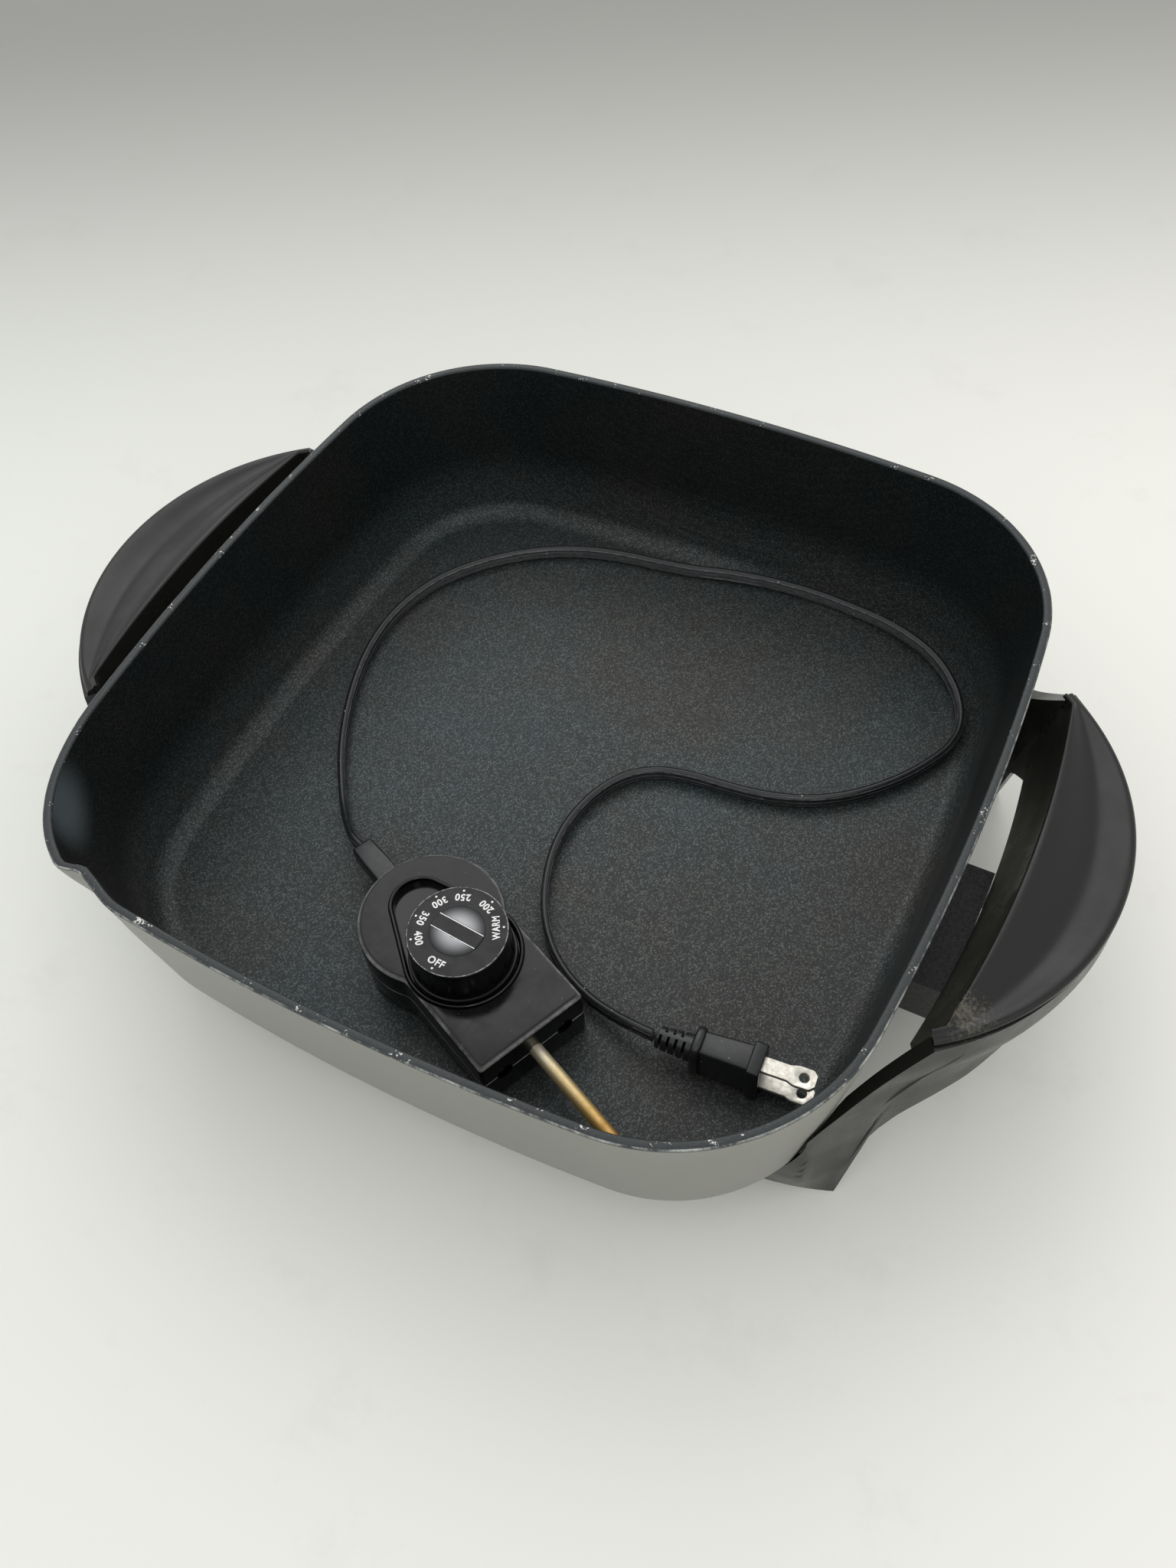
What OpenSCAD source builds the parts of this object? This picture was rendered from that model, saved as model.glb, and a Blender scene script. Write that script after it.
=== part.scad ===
// Square electric skillet with a lift-out probe heat control lying in the pan.
// Origin: centre of the footprint on the table. +X points to the handle over
// the terminals, +Y to the back, +Z up. Millimetres and degrees.

/* [Pan] */
// Width over the rim, across the middle of two opposite sides
rim_w = 300; // [260:1:360]
// Height of the rim above the table
rim_z = 105; // [88:1:126]
// Height of the flat underside above the table
under_z = 27; // [22.5:0.5:32]
// Thickness of the cooking floor
floor_t = 5.5; // [4.6:0.1:6.6]
// Thickness of the wall, seen on the rim
wall_t = 3.2; // [2.4:0.1:4.5]
// Radius of the rim's corners
corner_r = 70; // [58:1:84]
// Radius of the slow outward bow of each side
bow_r = 930; // [700:10:2000]
// Lean of the wall from upright
wall_lean = 8; // [5:0.5:10]
// Radius between the wall and the floor, inside
inner_fillet = 9; // [6:0.5:12]
// Radius between the wall and the underside, outside
outer_fillet = 12; // [9:0.5:15]
// How far the pouring lip stands out from its corner
lip_out = 3.6; // [2:0.1:6]
// Height over which the pouring lip fades into the wall
lip_h = 34; // [20:1:50]

/* [Heating element] */
// Radius of the element's steel sheath
sheath_r = 3.3; // [2.7:0.1:4]
// Half the width of the square that the element runs round
loop_half = 90; // [80:1:98]
// Bend radius at the corners of that square
loop_bend = 22; // [16:1:30]
// Bend radius where the two leads leave it
lead_bend = 16; // [12:1:20]
// Thickness of the ribs that hold the element
rib_t = 2.6; // [2:0.1:3.2]
// Distance between the two terminal pins
pin_gap = 25.4; // [22:0.1:30]
// Radius of a terminal pin
pin_r = 2.35; // [2:0.05:2.8]

/* [Handles] */
// Radius of the grip's outer edge
grip_r = 90; // [78:1:104]
// Reach of the grip's outer edge beyond the rim
grip_reach = 47.4; // [40:0.2:56]
// Height of the grip's outer edge above the table
grip_z = 94; // [82:1:98]
// Half the length of the grip, between its pointed ends
grip_half = 71; // [60:1:80]
// Thickness of the moulded walls
shell_t = 5; // [4:0.1:6]
// Depth of the dish in the top of the grip
dish = 3.4; // [1:0.1:5]
// Radius of the foot ring on which both legs of a handle stand
foot_r = 100.2; // [96:0.2:106]
// Height of the inner wall's lower edge above the table
curtain_z = 67; // [58:1:72]
// Radius of the handle screws
screw_r = 2.4; // [2:0.1:3]

/* [Heat control] */
// Width of the housing at its nose
ctl_w = 43; // [40:0.5:50]
// Height of the housing
ctl_h = 25.1; // [23:0.1:30]
// Radius of the housing's round back
ctl_round_r = 26.2; // [24:0.2:30]
// Distance from the nose to the centre of the round back
ctl_round_x = 58.5; // [54:0.5:66]
// Wall of the housing
ctl_t = 2.2; // [1.8:0.1:2.8]
// Height of the probe's axis above the housing's underside
probe_z = 13.5; // [12.5:0.1:15]
// Radius of the probe
probe_r = 2.5; // [2:0.05:3]
// Length of the probe beyond the nose
probe_l = 58; // [48:1:66]
// Distance from the nose to the dial's axis
dial_x = 38.9; // [36:0.1:42]
// Radius of the dial
dial_r = 17.45; // [15:0.05:18]
// Height of the dial's top above the housing's underside
dial_z = 40.9; // [34:0.1:44]

/* [Plug and cord] */
// Height of the plug's body, which stands on its narrow side
plug_h = 20; // [18:0.5:24]
// Thickness of the plug's body
plug_t = 11; // [9:0.5:13]
// Distance between the two blades
blade_gap = 12.7; // [12:0.1:13.4]
// Width of a blade
blade_w = 6.35; // [6:0.05:7]
// Height of the cord, which stands on its narrow side
cord_w = 6.2; // [5:0.1:7]
// Thickness of the cord
cord_t = 3.1; // [2.4:0.1:3.6]

/* [Hidden] */
$fn = 96;
bow_fn = 720;
eps = 0.01;
seat = 0.2;      // gap under what lies loose on the cooking floor
fit = 0.15;      // clearance round pieces that slip together
slip = 0.05;     // radial clearance of a running or slipped-in shaft

floor_z = under_z + floor_t;
half = rim_w / 2;
bow_c = bow_r - half;
k0 = bow_r - corner_r;
corner_c = (sqrt(2 * k0 * k0 - bow_c * bow_c) - bow_c) / 2;
side_a = asin(corner_c / k0);
grip_c = half + grip_reach - grip_r;
element_z = under_z - 1;
lead_y = pin_gap / 2;

black = "#222222";
steel = "#b9b9b4";

// ---------------------------------------------------------------- helpers
function ramp(v, a, b) =
  let (t = min(1, max(0, (v - a) / (b - a)))) t * t * (3 - 2 * t);
function mix(a, b, t) = a * (1 - t) + b * t;
function arc_pts(c, r, a0, a1, n) =
  [for (i = [0:n]) let (a = mix(a0, a1, i / n)) c + r * [cos(a), sin(a)]];
function turn2(p, a) =
  [p[0] * cos(a) - p[1] * sin(a), p[0] * sin(a) + p[1] * cos(a)];

// Skin between equal closed loops of points, with both ends closed. Seen
// from the last loop, looking back at the first, each loop runs
// counterclockwise.
module loft(loops) {
  n = len(loops[0]);
  m = len(loops);
  sides = [for (j = [0:m - 2], i = [0:n - 1], k = [0, 1])
    let (a = j * n + i, b = j * n + (i + 1) % n)
      k == 0 ? [a, b + n, b] : [a, a + n, b + n]];
  polyhedron(points = [for (l = loops) each l], convexity = 8,
    faces = concat([[for (i = [0:n - 1]) i]], sides,
      [[for (i = [n - 1:-1:0]) (m - 1) * n + i]]));
}

// ------------------------------------------------------------------- pan
// Distance that the wall's outer face has moved in from the rim at height z.
function wall_in(z) = (rim_z - z) * tan(wall_lean);
function fillet_c(z0, r, t) =
  [wall_in(z0 + r) + t + r / cos(wall_lean), z0 + r];
function under_arc(g) =
  arc_pts(fillet_c(under_z, outer_fillet, 0), outer_fillet + g,
    270, 180 + wall_lean, 6);
function floor_arc() =
  arc_pts(fillet_c(floor_z, inner_fillet, wall_t), inner_fillet,
    180 + wall_lean, 270, 6);
rim_round = 0.6;
side_steps = 4;
corner_steps = 14;
lip_angles = concat([for (i = [0:10]) mix(side_a, 54, i / 10)],
  [57, 60, 61.5, 63, 64.5, 66, 67.5, 70, 74, 78, 82, 90 - side_a]);
// How far the lip pushes the wall out, at angle b round its corner.
function lip_push(b) = lip_out * ramp(b, 12, 54)
  - (lip_out + 1.7) * ramp(b, 60, 67) + 1.7 * ramp(b, 70, 84);
function lip_fade(z) = ramp(z, rim_z - lip_h, rim_z);
// One level of the pan as a closed loop, moved in from the rim's outline.
function side_arc(inset, q) = [for (p = arc_pts([0, bow_c], bow_r - inset,
  270 - side_a, 270 + side_a, side_steps)) turn2(p, q * 90)];
function corner_arc(inset, z, q) = q < 3
  ? [for (i = [1:corner_steps - 1]) turn2([corner_c, -corner_c]
      + (corner_r - inset) * [cos(corner_a(i)), sin(corner_a(i))], q * 90)]
  : [for (i = [1:len(lip_angles) - 2]) let (b = lip_angles[i])
      -[corner_c, corner_c] - (corner_r - inset
        + lip_push(b) * lip_fade(z)) * [cos(b), sin(b)]];
function corner_a(i) = mix(270 + side_a, 360 - side_a, i / corner_steps);
function pan_level(inset, z) = [for (q = [0:3])
  each [for (p = concat(side_arc(inset, q), corner_arc(inset, z, q)))
    [p[0], p[1], z]]];
// Section of the wall, from the underside over the rim to the floor.
fade_steps = 4;
wall_section = concat(
  under_arc(0),
  [for (i = [0:fade_steps - 1]) let (z = rim_z - lip_h * (1 - i / fade_steps))
    [wall_in(z), z]],
  [[0, rim_z - rim_round], [rim_round, rim_z],
    [wall_t - rim_round, rim_z], [wall_t, rim_z - rim_round]],
  [for (i = [fade_steps - 1:-1:0]) let (z = rim_z - lip_h
    * (1 - i / fade_steps)) [wall_in(z) + wall_t, z]],
  floor_arc());
module pan_shell() {
  loft([for (p = wall_section) pan_level(p[0], p[1])]);
}

// Sweep of a 2D section along the element's path; the section's x lies
// across the path and its y is the height above the element's axis.
module run(p, q) {
  d = q - p;
  translate([p[0], p[1], element_z]) rotate([0, 0, atan2(d[1], d[0])])
    rotate([90, 0, 90]) linear_extrude(norm(d)) children();
}
module bend(c, r, a0) {
  translate([c[0], c[1], element_z]) rotate([0, 0, a0])
    rotate_extrude(angle = 90) translate([r, 0]) children();
}
loop_x = loop_half + 10;
module along_element(lead_end) {
  for (s = [0, 1]) mirror([0, s, 0]) {
    run([loop_x + lead_bend, lead_y], [lead_end, lead_y]) children();
    bend([loop_x + lead_bend, lead_y + lead_bend], lead_bend, 180)
      children();
    run([loop_x, lead_y + lead_bend], [loop_x, loop_half - loop_bend])
      children();
    bend([loop_x - loop_bend, loop_half - loop_bend], loop_bend, 0)
      children();
    run([loop_bend - loop_half, loop_half], [loop_x - loop_bend, loop_half])
      children();
    bend([loop_bend - loop_half, loop_half - loop_bend], loop_bend, 90)
      children();
    run([-loop_half, 0], [-loop_half, loop_half - loop_bend]) children();
  }
}
flat_x = half - fillet_c(under_z, outer_fillet, 0)[0];
rib_bottom = under_z - element_z - sheath_r - 1.4;
module rib_section() {
  translate([-sheath_r - rib_t - fit, rib_bottom])
    square([2 * (sheath_r + rib_t + fit), 2 - rib_bottom + under_z
      - element_z]);
}
module groove_section() {
  circle(r = sheath_r + fit);
  translate([-sheath_r - fit, rib_bottom - 1])
    square([2 * (sheath_r + fit), 1 - rib_bottom]);
}

// Probe socket: a rib under the floor with a deep bore, open at the wall.
probe_axis_z = under_z - 1;
socket_r = 5.8;
socket_x = half - 9;
socket_l = 60;
module socket_rib() {
  translate([socket_x - socket_l - 4, 0, probe_axis_z]) rotate([0, 90, 0])
    cylinder(r = socket_r, h = socket_l + 4);
}
module socket_bore() {
  translate([socket_x - socket_l, 0, probe_axis_z]) rotate([0, 90, 0])
    cylinder(r = probe_r + fit, h = socket_l + 20);
}

// Screw bosses under the pan.
boss_z = under_z - 5;
leg_boss = [min(corner_c + 31.4, grip_c + 0.6),
  min(corner_c + 11.4, foot_r - 12.2)];
leg_boss_r = 6.5;
guard_boss = [half - 31, lead_y + 12.3];
guard_boss_r = 4.2;
boss_hole_r = 0.1;   // added to the screw's own radius
module leg_places() {
  for (sx = [0, 1], sy = [0, 1]) mirror([sx, 0, 0]) mirror([0, sy, 0])
    translate([leg_boss[0], leg_boss[1], 0]) children();
}
module guard_places() {
  for (s = [-1, 1]) translate([guard_boss[0], s * guard_boss[1], 0])
    children();
}

module pan() {
  color("#5a5f63") difference() {
    union() {
      pan_shell();
      along_element(flat_x - 2) rib_section();
      socket_rib();
      leg_places() translate([0, 0, boss_z])
        cylinder(r = leg_boss_r, h = under_z - boss_z + 1);
      guard_places() translate([0, 0, boss_z])
        cylinder(r = guard_boss_r, h = under_z - boss_z + 1);
    }
    along_element(half) groove_section();
    terminal_places() translate([0, 0, -2.2])
      cylinder(r = bush_r + 0.2, h = 20);
    socket_bore();
    leg_places() translate([0, 0, boss_z - 1])
      cylinder(r = screw_r + boss_hole_r, h = 8.5);
    guard_places() translate([0, 0, boss_z - 1])
      cylinder(r = guard_screw_r + boss_hole_r, h = 8);
  }
}

// ------------------------------------------------- element and terminals
element_end = half - 14;
pin_end = half + 6.5;
bush_end = element_end + 8;
bush_r = 4.7;
module heating_element() {
  color("#6b5f52") along_element(element_end) circle(r = sheath_r);
}
module terminal_places() {
  for (s = [-1, 1]) translate([element_end, s * lead_y, element_z])
    rotate([0, 90, 0]) children();
}
pin_neck_r = pin_r - 0.35;    // inside the insulator
pin_neck_l = bush_end - element_end + 0.5;
module terminal_pins() {
  color(steel) terminal_places() {
    cylinder(r = pin_neck_r, h = pin_neck_l);
    translate([0, 0, pin_neck_l])
      cylinder(r = pin_r, h = pin_end - element_end - 1 - pin_neck_l);
    translate([0, 0, pin_end - element_end - 1])
      cylinder(r1 = pin_r, r2 = pin_r - 0.9, h = 1);
  }
}
module terminal_insulators() {
  color("#e8e2d4") terminal_places() difference() {
    translate([0, 0, -2]) cylinder(r = bush_r, h = bush_end - element_end + 2);
    translate([0, 0, -3]) cylinder(r = sheath_r + slip, h = 3);
    cylinder(r = pin_neck_r + slip, h = 20);
  }
}

// Space that the pan fills, grown by g, behind its +X side and at one of
// that side's corners. What stands near the pan is cut back from it.
function envelope_section(g, r) = [for (p = concat(
  [[corner_r, under_z - g]], under_arc(g),
  [[-g / cos(wall_lean), rim_z + 1], [corner_r, rim_z + 1]]))
  [r - p[0], p[1]]];
module side_space(g) {
  translate([-bow_c, 0, 0]) rotate([0, 0, -side_a])
    rotate_extrude(angle = 2 * side_a, $fn = bow_fn)
      polygon(envelope_section(g, bow_r));
}
module corner_space(g) {
  translate([corner_c, -corner_c, 0]) rotate([0, 0, 270 + side_a])
    rotate_extrude(angle = 90 - 2 * side_a)
      polygon(envelope_section(g, corner_r));
}

// Guard: an open-bottomed hood round the pins, screwed under the pan.
guard_t = 2.2;
guard_mouth = half + 7;
guard_half = 27;
guard_top = probe_axis_z + ctl_h - probe_z + 0.6 + guard_t;
guard_bottom = under_z - 8.3;
guard_back = half - 16;
guard_screw_r = 1.9;
module terminal_guard() {
  color(black) difference() {
    guard_hood();
    side_space(0.3);
  }
}
module guard_hood() {
  difference() {
    union() {
      translate([guard_back, -guard_half, guard_bottom])
        cube([guard_mouth - guard_back, 2 * guard_half,
          guard_top - guard_bottom]);
      for (s = [-1, 1]) translate([guard_boss[0], s * guard_boss[1],
          guard_bottom]) {
        cylinder(r = guard_boss_r, h = boss_z - guard_bottom - slip);
        translate([0, -guard_boss_r, 0])
          cube([guard_back - guard_boss[0] + 1, 2 * guard_boss_r,
            boss_z - guard_bottom - slip]);
      }
    }
    translate([guard_back + guard_t, guard_t - guard_half, guard_bottom - 1])
      cube([40, 2 * (guard_half - guard_t),
        guard_top - guard_t - guard_bottom + 1]);
    for (s = [-1, 1]) translate([guard_back - 1, s * lead_y, element_z])
      rotate([0, 90, 0]) cylinder(r = bush_r + slip, h = guard_t + 2);
    translate([guard_back - 1, 0, probe_axis_z]) rotate([0, 90, 0])
      cylinder(r = socket_r + 0.2, h = guard_t + 2);
    guard_places() translate([0, 0, guard_bottom - 1])
      cylinder(r = guard_screw_r + 0.2, h = 8);
  }
}
module pan_head_screw(r, head_r, head_h, top) {
  // shank up to z = top, head hanging under z = 0
  cylinder(r = r, h = top);
  translate([0, 0, -head_h]) difference() {
    cylinder(r1 = head_r * 0.8, r2 = head_r, h = head_h);
    for (a = [0, 90]) rotate([0, 0, a])
      translate([-head_r * 0.55, -0.4, -1]) cube([head_r * 1.1, 0.8, 2]);
  }
}
module guard_screws() {
  color(steel) guard_places() translate([0, 0, guard_bottom - slip])
    pan_head_screw(guard_screw_r, 3.6, 2, boss_z - guard_bottom + 6);
}

// --------------------------------------------------------------- handles
skirt_r = grip_r - 6.7;      // waist of the handle, also the leg's flat face
leg_turn = 36.7;             // direction that the flat face of a leg faces
rear_low = 82.7;             // rear edge of a leg at the foot, as an angle
rear_mid = 74.8;             // and where it meets the pan's wall
leg_z = 57;                  // height at which it meets the wall
tip_a = asin(grip_half / grip_r);
foot_fade = 40;              // height over which the foot ring fades
function circle_r(z) = mix(skirt_r, grip_r, ramp(z, leg_z - 3, grip_z - 12));
function flat_r(a) = skirt_r
  / cos(max(0, min(abs(a), rear_mid) - leg_turn));
function wall_r(a, z) =
  let (f = z < foot_fade ? pow(1 - z / foot_fade, 2) : 0)
    mix(max(circle_r(z), flat_r(a)), foot_r, f);
function rear_a(z) = z < leg_z
  ? mix(rear_low, rear_mid, ramp(z, 0, leg_z))
  : mix(rear_mid, tip_a, (z - leg_z) / (grip_z - leg_z));
wall_cols = 30;
wall_rows = [0, 6, 12, 20, 28, 36, 44, 50, 57, 64, 71, 78, 86, 94];
function row_z(z) = z * grip_z / 94;
module handle_wall() {
  // each loop goes out along the outer face and back along the inner one
  translate([grip_c, 0, 0]) loft([for (z0 = wall_rows)
    let (z = row_z(z0), w = rear_a(z))
      concat(
        [for (i = [0:wall_cols]) let (a = mix(-w, w, i / wall_cols),
          r = wall_r(a, z)) [r * cos(a), r * sin(a), z]],
        [for (i = [wall_cols:-1:0]) let (a = mix(-w, w, i / wall_cols),
          r = wall_r(a, z) - shell_t) [r * cos(a), r * sin(a), z]])]);
}
// Opening between the legs, as [half width, height] down one side.
arch = [[0, 80], [14, 79.4], [25, 77.6], [33, 74], [40.5, 67.5], [48, 57],
  [56, 50], [66, 44.5], [75, 41], [82, 35], [87.4, 24], [90.6, 12],
  [92.3, -1]];
module arch_cut() {
  pts = concat([for (p = arch) [p[0], p[1] < 0 ? p[1] : p[1] * grip_z / 94]],
    [for (i = [len(arch) - 1:-1:1])
      [-arch[i][0], arch[i][1] < 0 ? arch[i][1] : arch[i][1] * grip_z / 94]]);
  translate([half - 10, 0, 0]) rotate([90, 0, 90]) linear_extrude(70)
    polygon(pts);
}
inner_bow = 403;             // radius of the grip's inner edge, in plan
inner_x = half + 16.3;       // inner edge at the middle of the grip
curtain_lean = 9;            // how far the inner wall leans in at its foot
inner_c = inner_x - inner_bow;
plate_t = 5.5;
top_cols = 24;
top_steps = 8;
// Distance from the grip's centre to its inner edge, in direction a.
function inner_r(a) = let (d = grip_c - inner_c)
  sqrt(inner_bow * inner_bow - pow(d * sin(a), 2)) - d * cos(a);
module grip_top() {
  // dished crescent between the inner edge and the outer wall
  translate([grip_c, 0, grip_z]) loft([for (i = [0:top_cols])
    let (a = mix(-tip_a, tip_a, i / top_cols), r1 = grip_r - 3,
      r0 = min(inner_r(a), r1 - 0.5),
      d = dish * (r1 - r0) / (r1 - inner_r(0)))
      [for (p = concat([[r0, -plate_t]],
        [for (j = [top_steps:-1:0]) let (t = j / top_steps)
          [mix(r1, r0, t), mix(0.2, 1.5, t) - d * sin(180 * t)]],
        [[r1 + 1.5, 0.2], [r1 + 1.5, -plate_t]]))
        [p[0] * cos(a), p[0] * sin(a), p[1]]]]);
}
// Where the inner wall, at radius r and height z, ends in the outer wall.
function curtain_a(r, z) = let (d = grip_c - inner_c,
  q = circle_r(z) - shell_t / 2) acos((d * d + r * r - q * q) / (2 * d * r));
curtain_cols = 20;
module curtain() {
  translate([inner_c, 0, 0]) loft([for (e = [[curtain_z, curtain_lean],
    [grip_z - 2, 0]]) concat(
      [for (i = [0:curtain_cols]) let (r = inner_bow - e[1] + shell_t,
        w = curtain_a(r, e[0]), a = mix(-w, w, i / curtain_cols))
        [r * cos(a), r * sin(a), e[0]]],
      [for (i = [curtain_cols:-1:0]) let (r = inner_bow - e[1],
        w = curtain_a(r, e[0]), a = mix(-w, w, i / curtain_cols))
        [r * cos(a), r * sin(a), e[0]]])]);
}
lug_top = boss_z - slip;
lug_t = 5.5;
module leg_lugs() {
  // tabs from each foot to the boss under the pan's corner
  for (s = [0, 1]) mirror([0, s, 0]) difference() {
    translate([leg_boss[0], leg_boss[1], lug_top - lug_t]) {
      cylinder(r = leg_boss_r + 1, h = lug_t);
      translate([0, -7.5, 0]) cube([26, 15, lug_t]);
    }
    translate([grip_c, 0, 0]) difference() {
      cylinder(r = 200, h = 60);
      translate([0, 0, -1]) cylinder(r = foot_r + 1, h = 62);
    }
  }
}
module handle_body() {
  difference() {
    handle_wall();
    arch_cut();
  }
  grip_top();
  curtain();
  leg_lugs();
}
module clear_of_pan() {
  difference() {
    difference() {
      children();
      side_space(0.3);
    }
    for (s = [0, 1]) mirror([0, s, 0]) corner_space(0.3);
  }
}
module handle() {
  difference() {
    // brought to the grip's full height in one piece
    resize([0, 0, grip_z + 1.5]) clear_of_pan() handle_body();
    for (s = [-1, 1]) translate([leg_boss[0], s * leg_boss[1], 0])
      cylinder(r = screw_r + 0.3, h = 40);
  }
}
module right_handle() { color(black) handle(); }
module left_handle() { color(black) mirror([1, 0, 0]) handle(); }
washer_t = 1;
module handle_washers() {
  color(steel) leg_places() translate([0, 0, lug_top - lug_t - washer_t
      - slip]) difference() {
    cylinder(r = 5.5, h = washer_t);
    translate([0, 0, -1]) cylinder(r = screw_r + 0.2, h = 3);
  }
}
module handle_screws() {
  color(steel) leg_places()
    translate([0, 0, lug_top - lug_t - washer_t - 2 * slip])
      pan_head_screw(screw_r, 4.6, 2.8, lug_t + washer_t + 6);
}

// ---------------------------------------------------------- heat control
// Drawn with its nose at x = 0, the probe along +X and its underside at
// z = 0, then laid on the cooking floor.
ctl_at = [41, -107.7];
ctl_turn = -24;
module laid() {
  translate([ctl_at[0], ctl_at[1], floor_z + seat]) rotate([0, 0, ctl_turn])
    children();
}
function edge_pts(hw, z0, z1, r0, r1) = concat(
  [[0, z0]],
  r0 > 0 ? arc_pts([hw - r0, z0 + r0], r0, 270, 360, 6) : [[hw, z0]],
  r1 > 0 ? arc_pts([hw - r1, z1 - r1], r1, 0, 90, 6) : [[hw, z1]],
  [[0, z1]]);
function both_sides(pts) = concat(pts,
  [for (i = [len(pts) - 2:-1:1]) [-pts[i][0], pts[i][1]]]);
// Block with the control's outline moved in by g, and rounded edges.
module ctl_block(g, z0, z1, r0, r1) {
  translate([-ctl_round_x, 0, 0]) {
    rotate_extrude() polygon(edge_pts(ctl_round_r - g, z0, z1, r0, r1));
    rotate([90, 0, 90]) linear_extrude(ctl_round_x - g)
      polygon(both_sides(edge_pts(ctl_w / 2 - g, z0, z1, r0, r1)));
  }
}
// Flat drop shape: a large circle round the dial and a small one behind.
drop_x = dial_x + 26;
module drop(r1, r2) {
  t = 90 + asin((r1 - r2) / (drop_x - dial_x));
  polygon(concat(arc_pts([-dial_x, 0], r1, -t, t, 36),
    arc_pts([-drop_x, 0], r2, t, 360 - t, 14)));
}
drop_r = ctl_w / 2 - 0.3;
drop_tail_r = 10;
bead_t = 1.5;
bead_h = 1;
recess_d = 2.3;
posts = [[-27, 15.4], [-27, -15.4], [-70, 15], [-70, -15]];
post_r = 3;
base_screw_r = 1.15;
relief_w = 6.4;
relief_z = [8, 16.6];
module nose_holes(h = 8) {
  translate([-h / 2, 0, probe_z]) rotate([0, 90, 0])
    cylinder(r = probe_r + fit, h = h);
  for (s = [-1, 1]) translate([-h / 2, s * lead_y, probe_z])
    rotate([0, 90, 0]) cylinder(r = pin_r + 0.8, h = h);
}
module relief_hole() {
  translate([-ctl_round_x - ctl_round_r - 5, -relief_w / 2 - fit,
      relief_z[0] - fit])
    cube([12, relief_w + 2 * fit, relief_z[1] - relief_z[0] + 2 * fit]);
}
collar_r = 5;
module saddle(z0, z1) {
  // block round the probe's collar, and pads for the two terminals
  difference() {
    translate([-11, -6.2, z0]) cube([8, 12.4, z1 - z0]);
    translate([-12, 0, probe_z]) rotate([0, 90, 0])
      cylinder(r = collar_r + slip, h = 12);
  }
}
socket_h = 6.8;
socket_w = 7.2;
module socket_pads(z0, z1) {
  for (s = [-1, 1]) translate([-16, s * lead_y - 2.5, z0])
    cube([9, 5, z1 - z0]);
}
module control_top() {
  liner_z = ctl_h - recess_d - ctl_t;
  color(black) laid() difference() {
    union() {
      difference() {
        ctl_block(0, probe_z, ctl_h, 0, 2);
        ctl_block(ctl_t, probe_z - 1, ctl_h - ctl_t, 0, 0);
      }
      translate([0, 0, liner_z]) linear_extrude(ctl_h - 1.5 - liner_z)
        drop(drop_r - 0.4, drop_tail_r + bead_t - 0.4);
      translate([0, 0, ctl_h - 2.6]) linear_extrude(2.6 + bead_h)
        drop(drop_r, drop_tail_r + bead_t);
      for (p = posts) translate([p[0], p[1], probe_z])
        cylinder(r = post_r, h = ctl_h - probe_z - 1);
      saddle(probe_z, ctl_h - 1);
      socket_pads(probe_z + socket_h / 2 + slip, ctl_h - 1);
    }
    translate([0, 0, ctl_h - recess_d]) linear_extrude(10)
      drop(drop_r - bead_t, drop_tail_r);
    translate([-dial_x, 0, 0]) cylinder(r = shaft_r + fit, h = 50);
    for (p = posts) translate([p[0], p[1], probe_z - 1])
      cylinder(r = base_screw_r + slip, h = 8);
    nose_holes();
    relief_hole();
  }
}
module control_base() {
  color(black) laid() difference() {
    union() {
      difference() {
        ctl_block(0, 0, probe_z, 2, 0);
        ctl_block(ctl_t, ctl_t, probe_z + 1, 1, 0);
      }
      for (p = posts) translate([p[0], p[1], 1])
        cylinder(r = post_r + 0.4, h = probe_z - 1);
      translate([-dial_x, 0, 1]) cylinder(r = shaft_r + 2, h = 5);
      saddle(1, probe_z);
      socket_pads(1, probe_z - socket_h / 2 - slip);
    }
    for (p = posts) translate([p[0], p[1], -1]) {
      cylinder(r = base_screw_r + 0.3, h = probe_z + 2);
      cylinder(r = 2.8, h = 4);
    }
    translate([-dial_x, 0, shaft_foot - fit])
      cylinder(r = shaft_r + slip, h = 10);
    nose_holes();
    relief_hole();
  }
}
module base_screws() {
  color(steel) laid() for (p = posts)
    translate([p[0], p[1], 3 - slip])
      pan_head_screw(base_screw_r, 2.4, 1.6, probe_z + 3);
}
rod_r = 1.1;
tube_l = probe_l + 13;       // with what is held inside the housing
module probe_tube() {
  color("#c8b48a") laid() translate([probe_l - tube_l, 0, probe_z])
    rotate([0, 90, 0]) rotate_extrude() polygon(concat(
      [[probe_r - 0.6, 0]],
      [[probe_r, 0]], arc_pts([0, tube_l - probe_r], probe_r, 0, 90, 8),
      [[0, tube_l - 4], [probe_r - 0.6, tube_l - 4]]));
}
module probe_collar() {
  color(steel) laid() translate([-11, 0, probe_z]) rotate([0, 90, 0])
    difference() {
      cylinder(r = collar_r, h = 8);
      translate([0, 0, -1]) cylinder(r = probe_r + slip, h = 12);
    }
}
rod_end = -21.5;
module sensing_rod() {
  color("#8f8f8c") laid() translate([rod_end, 0, probe_z])
    rotate([0, 90, 0]) cylinder(r = rod_r, h = probe_l - rod_end - 4);
}
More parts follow.
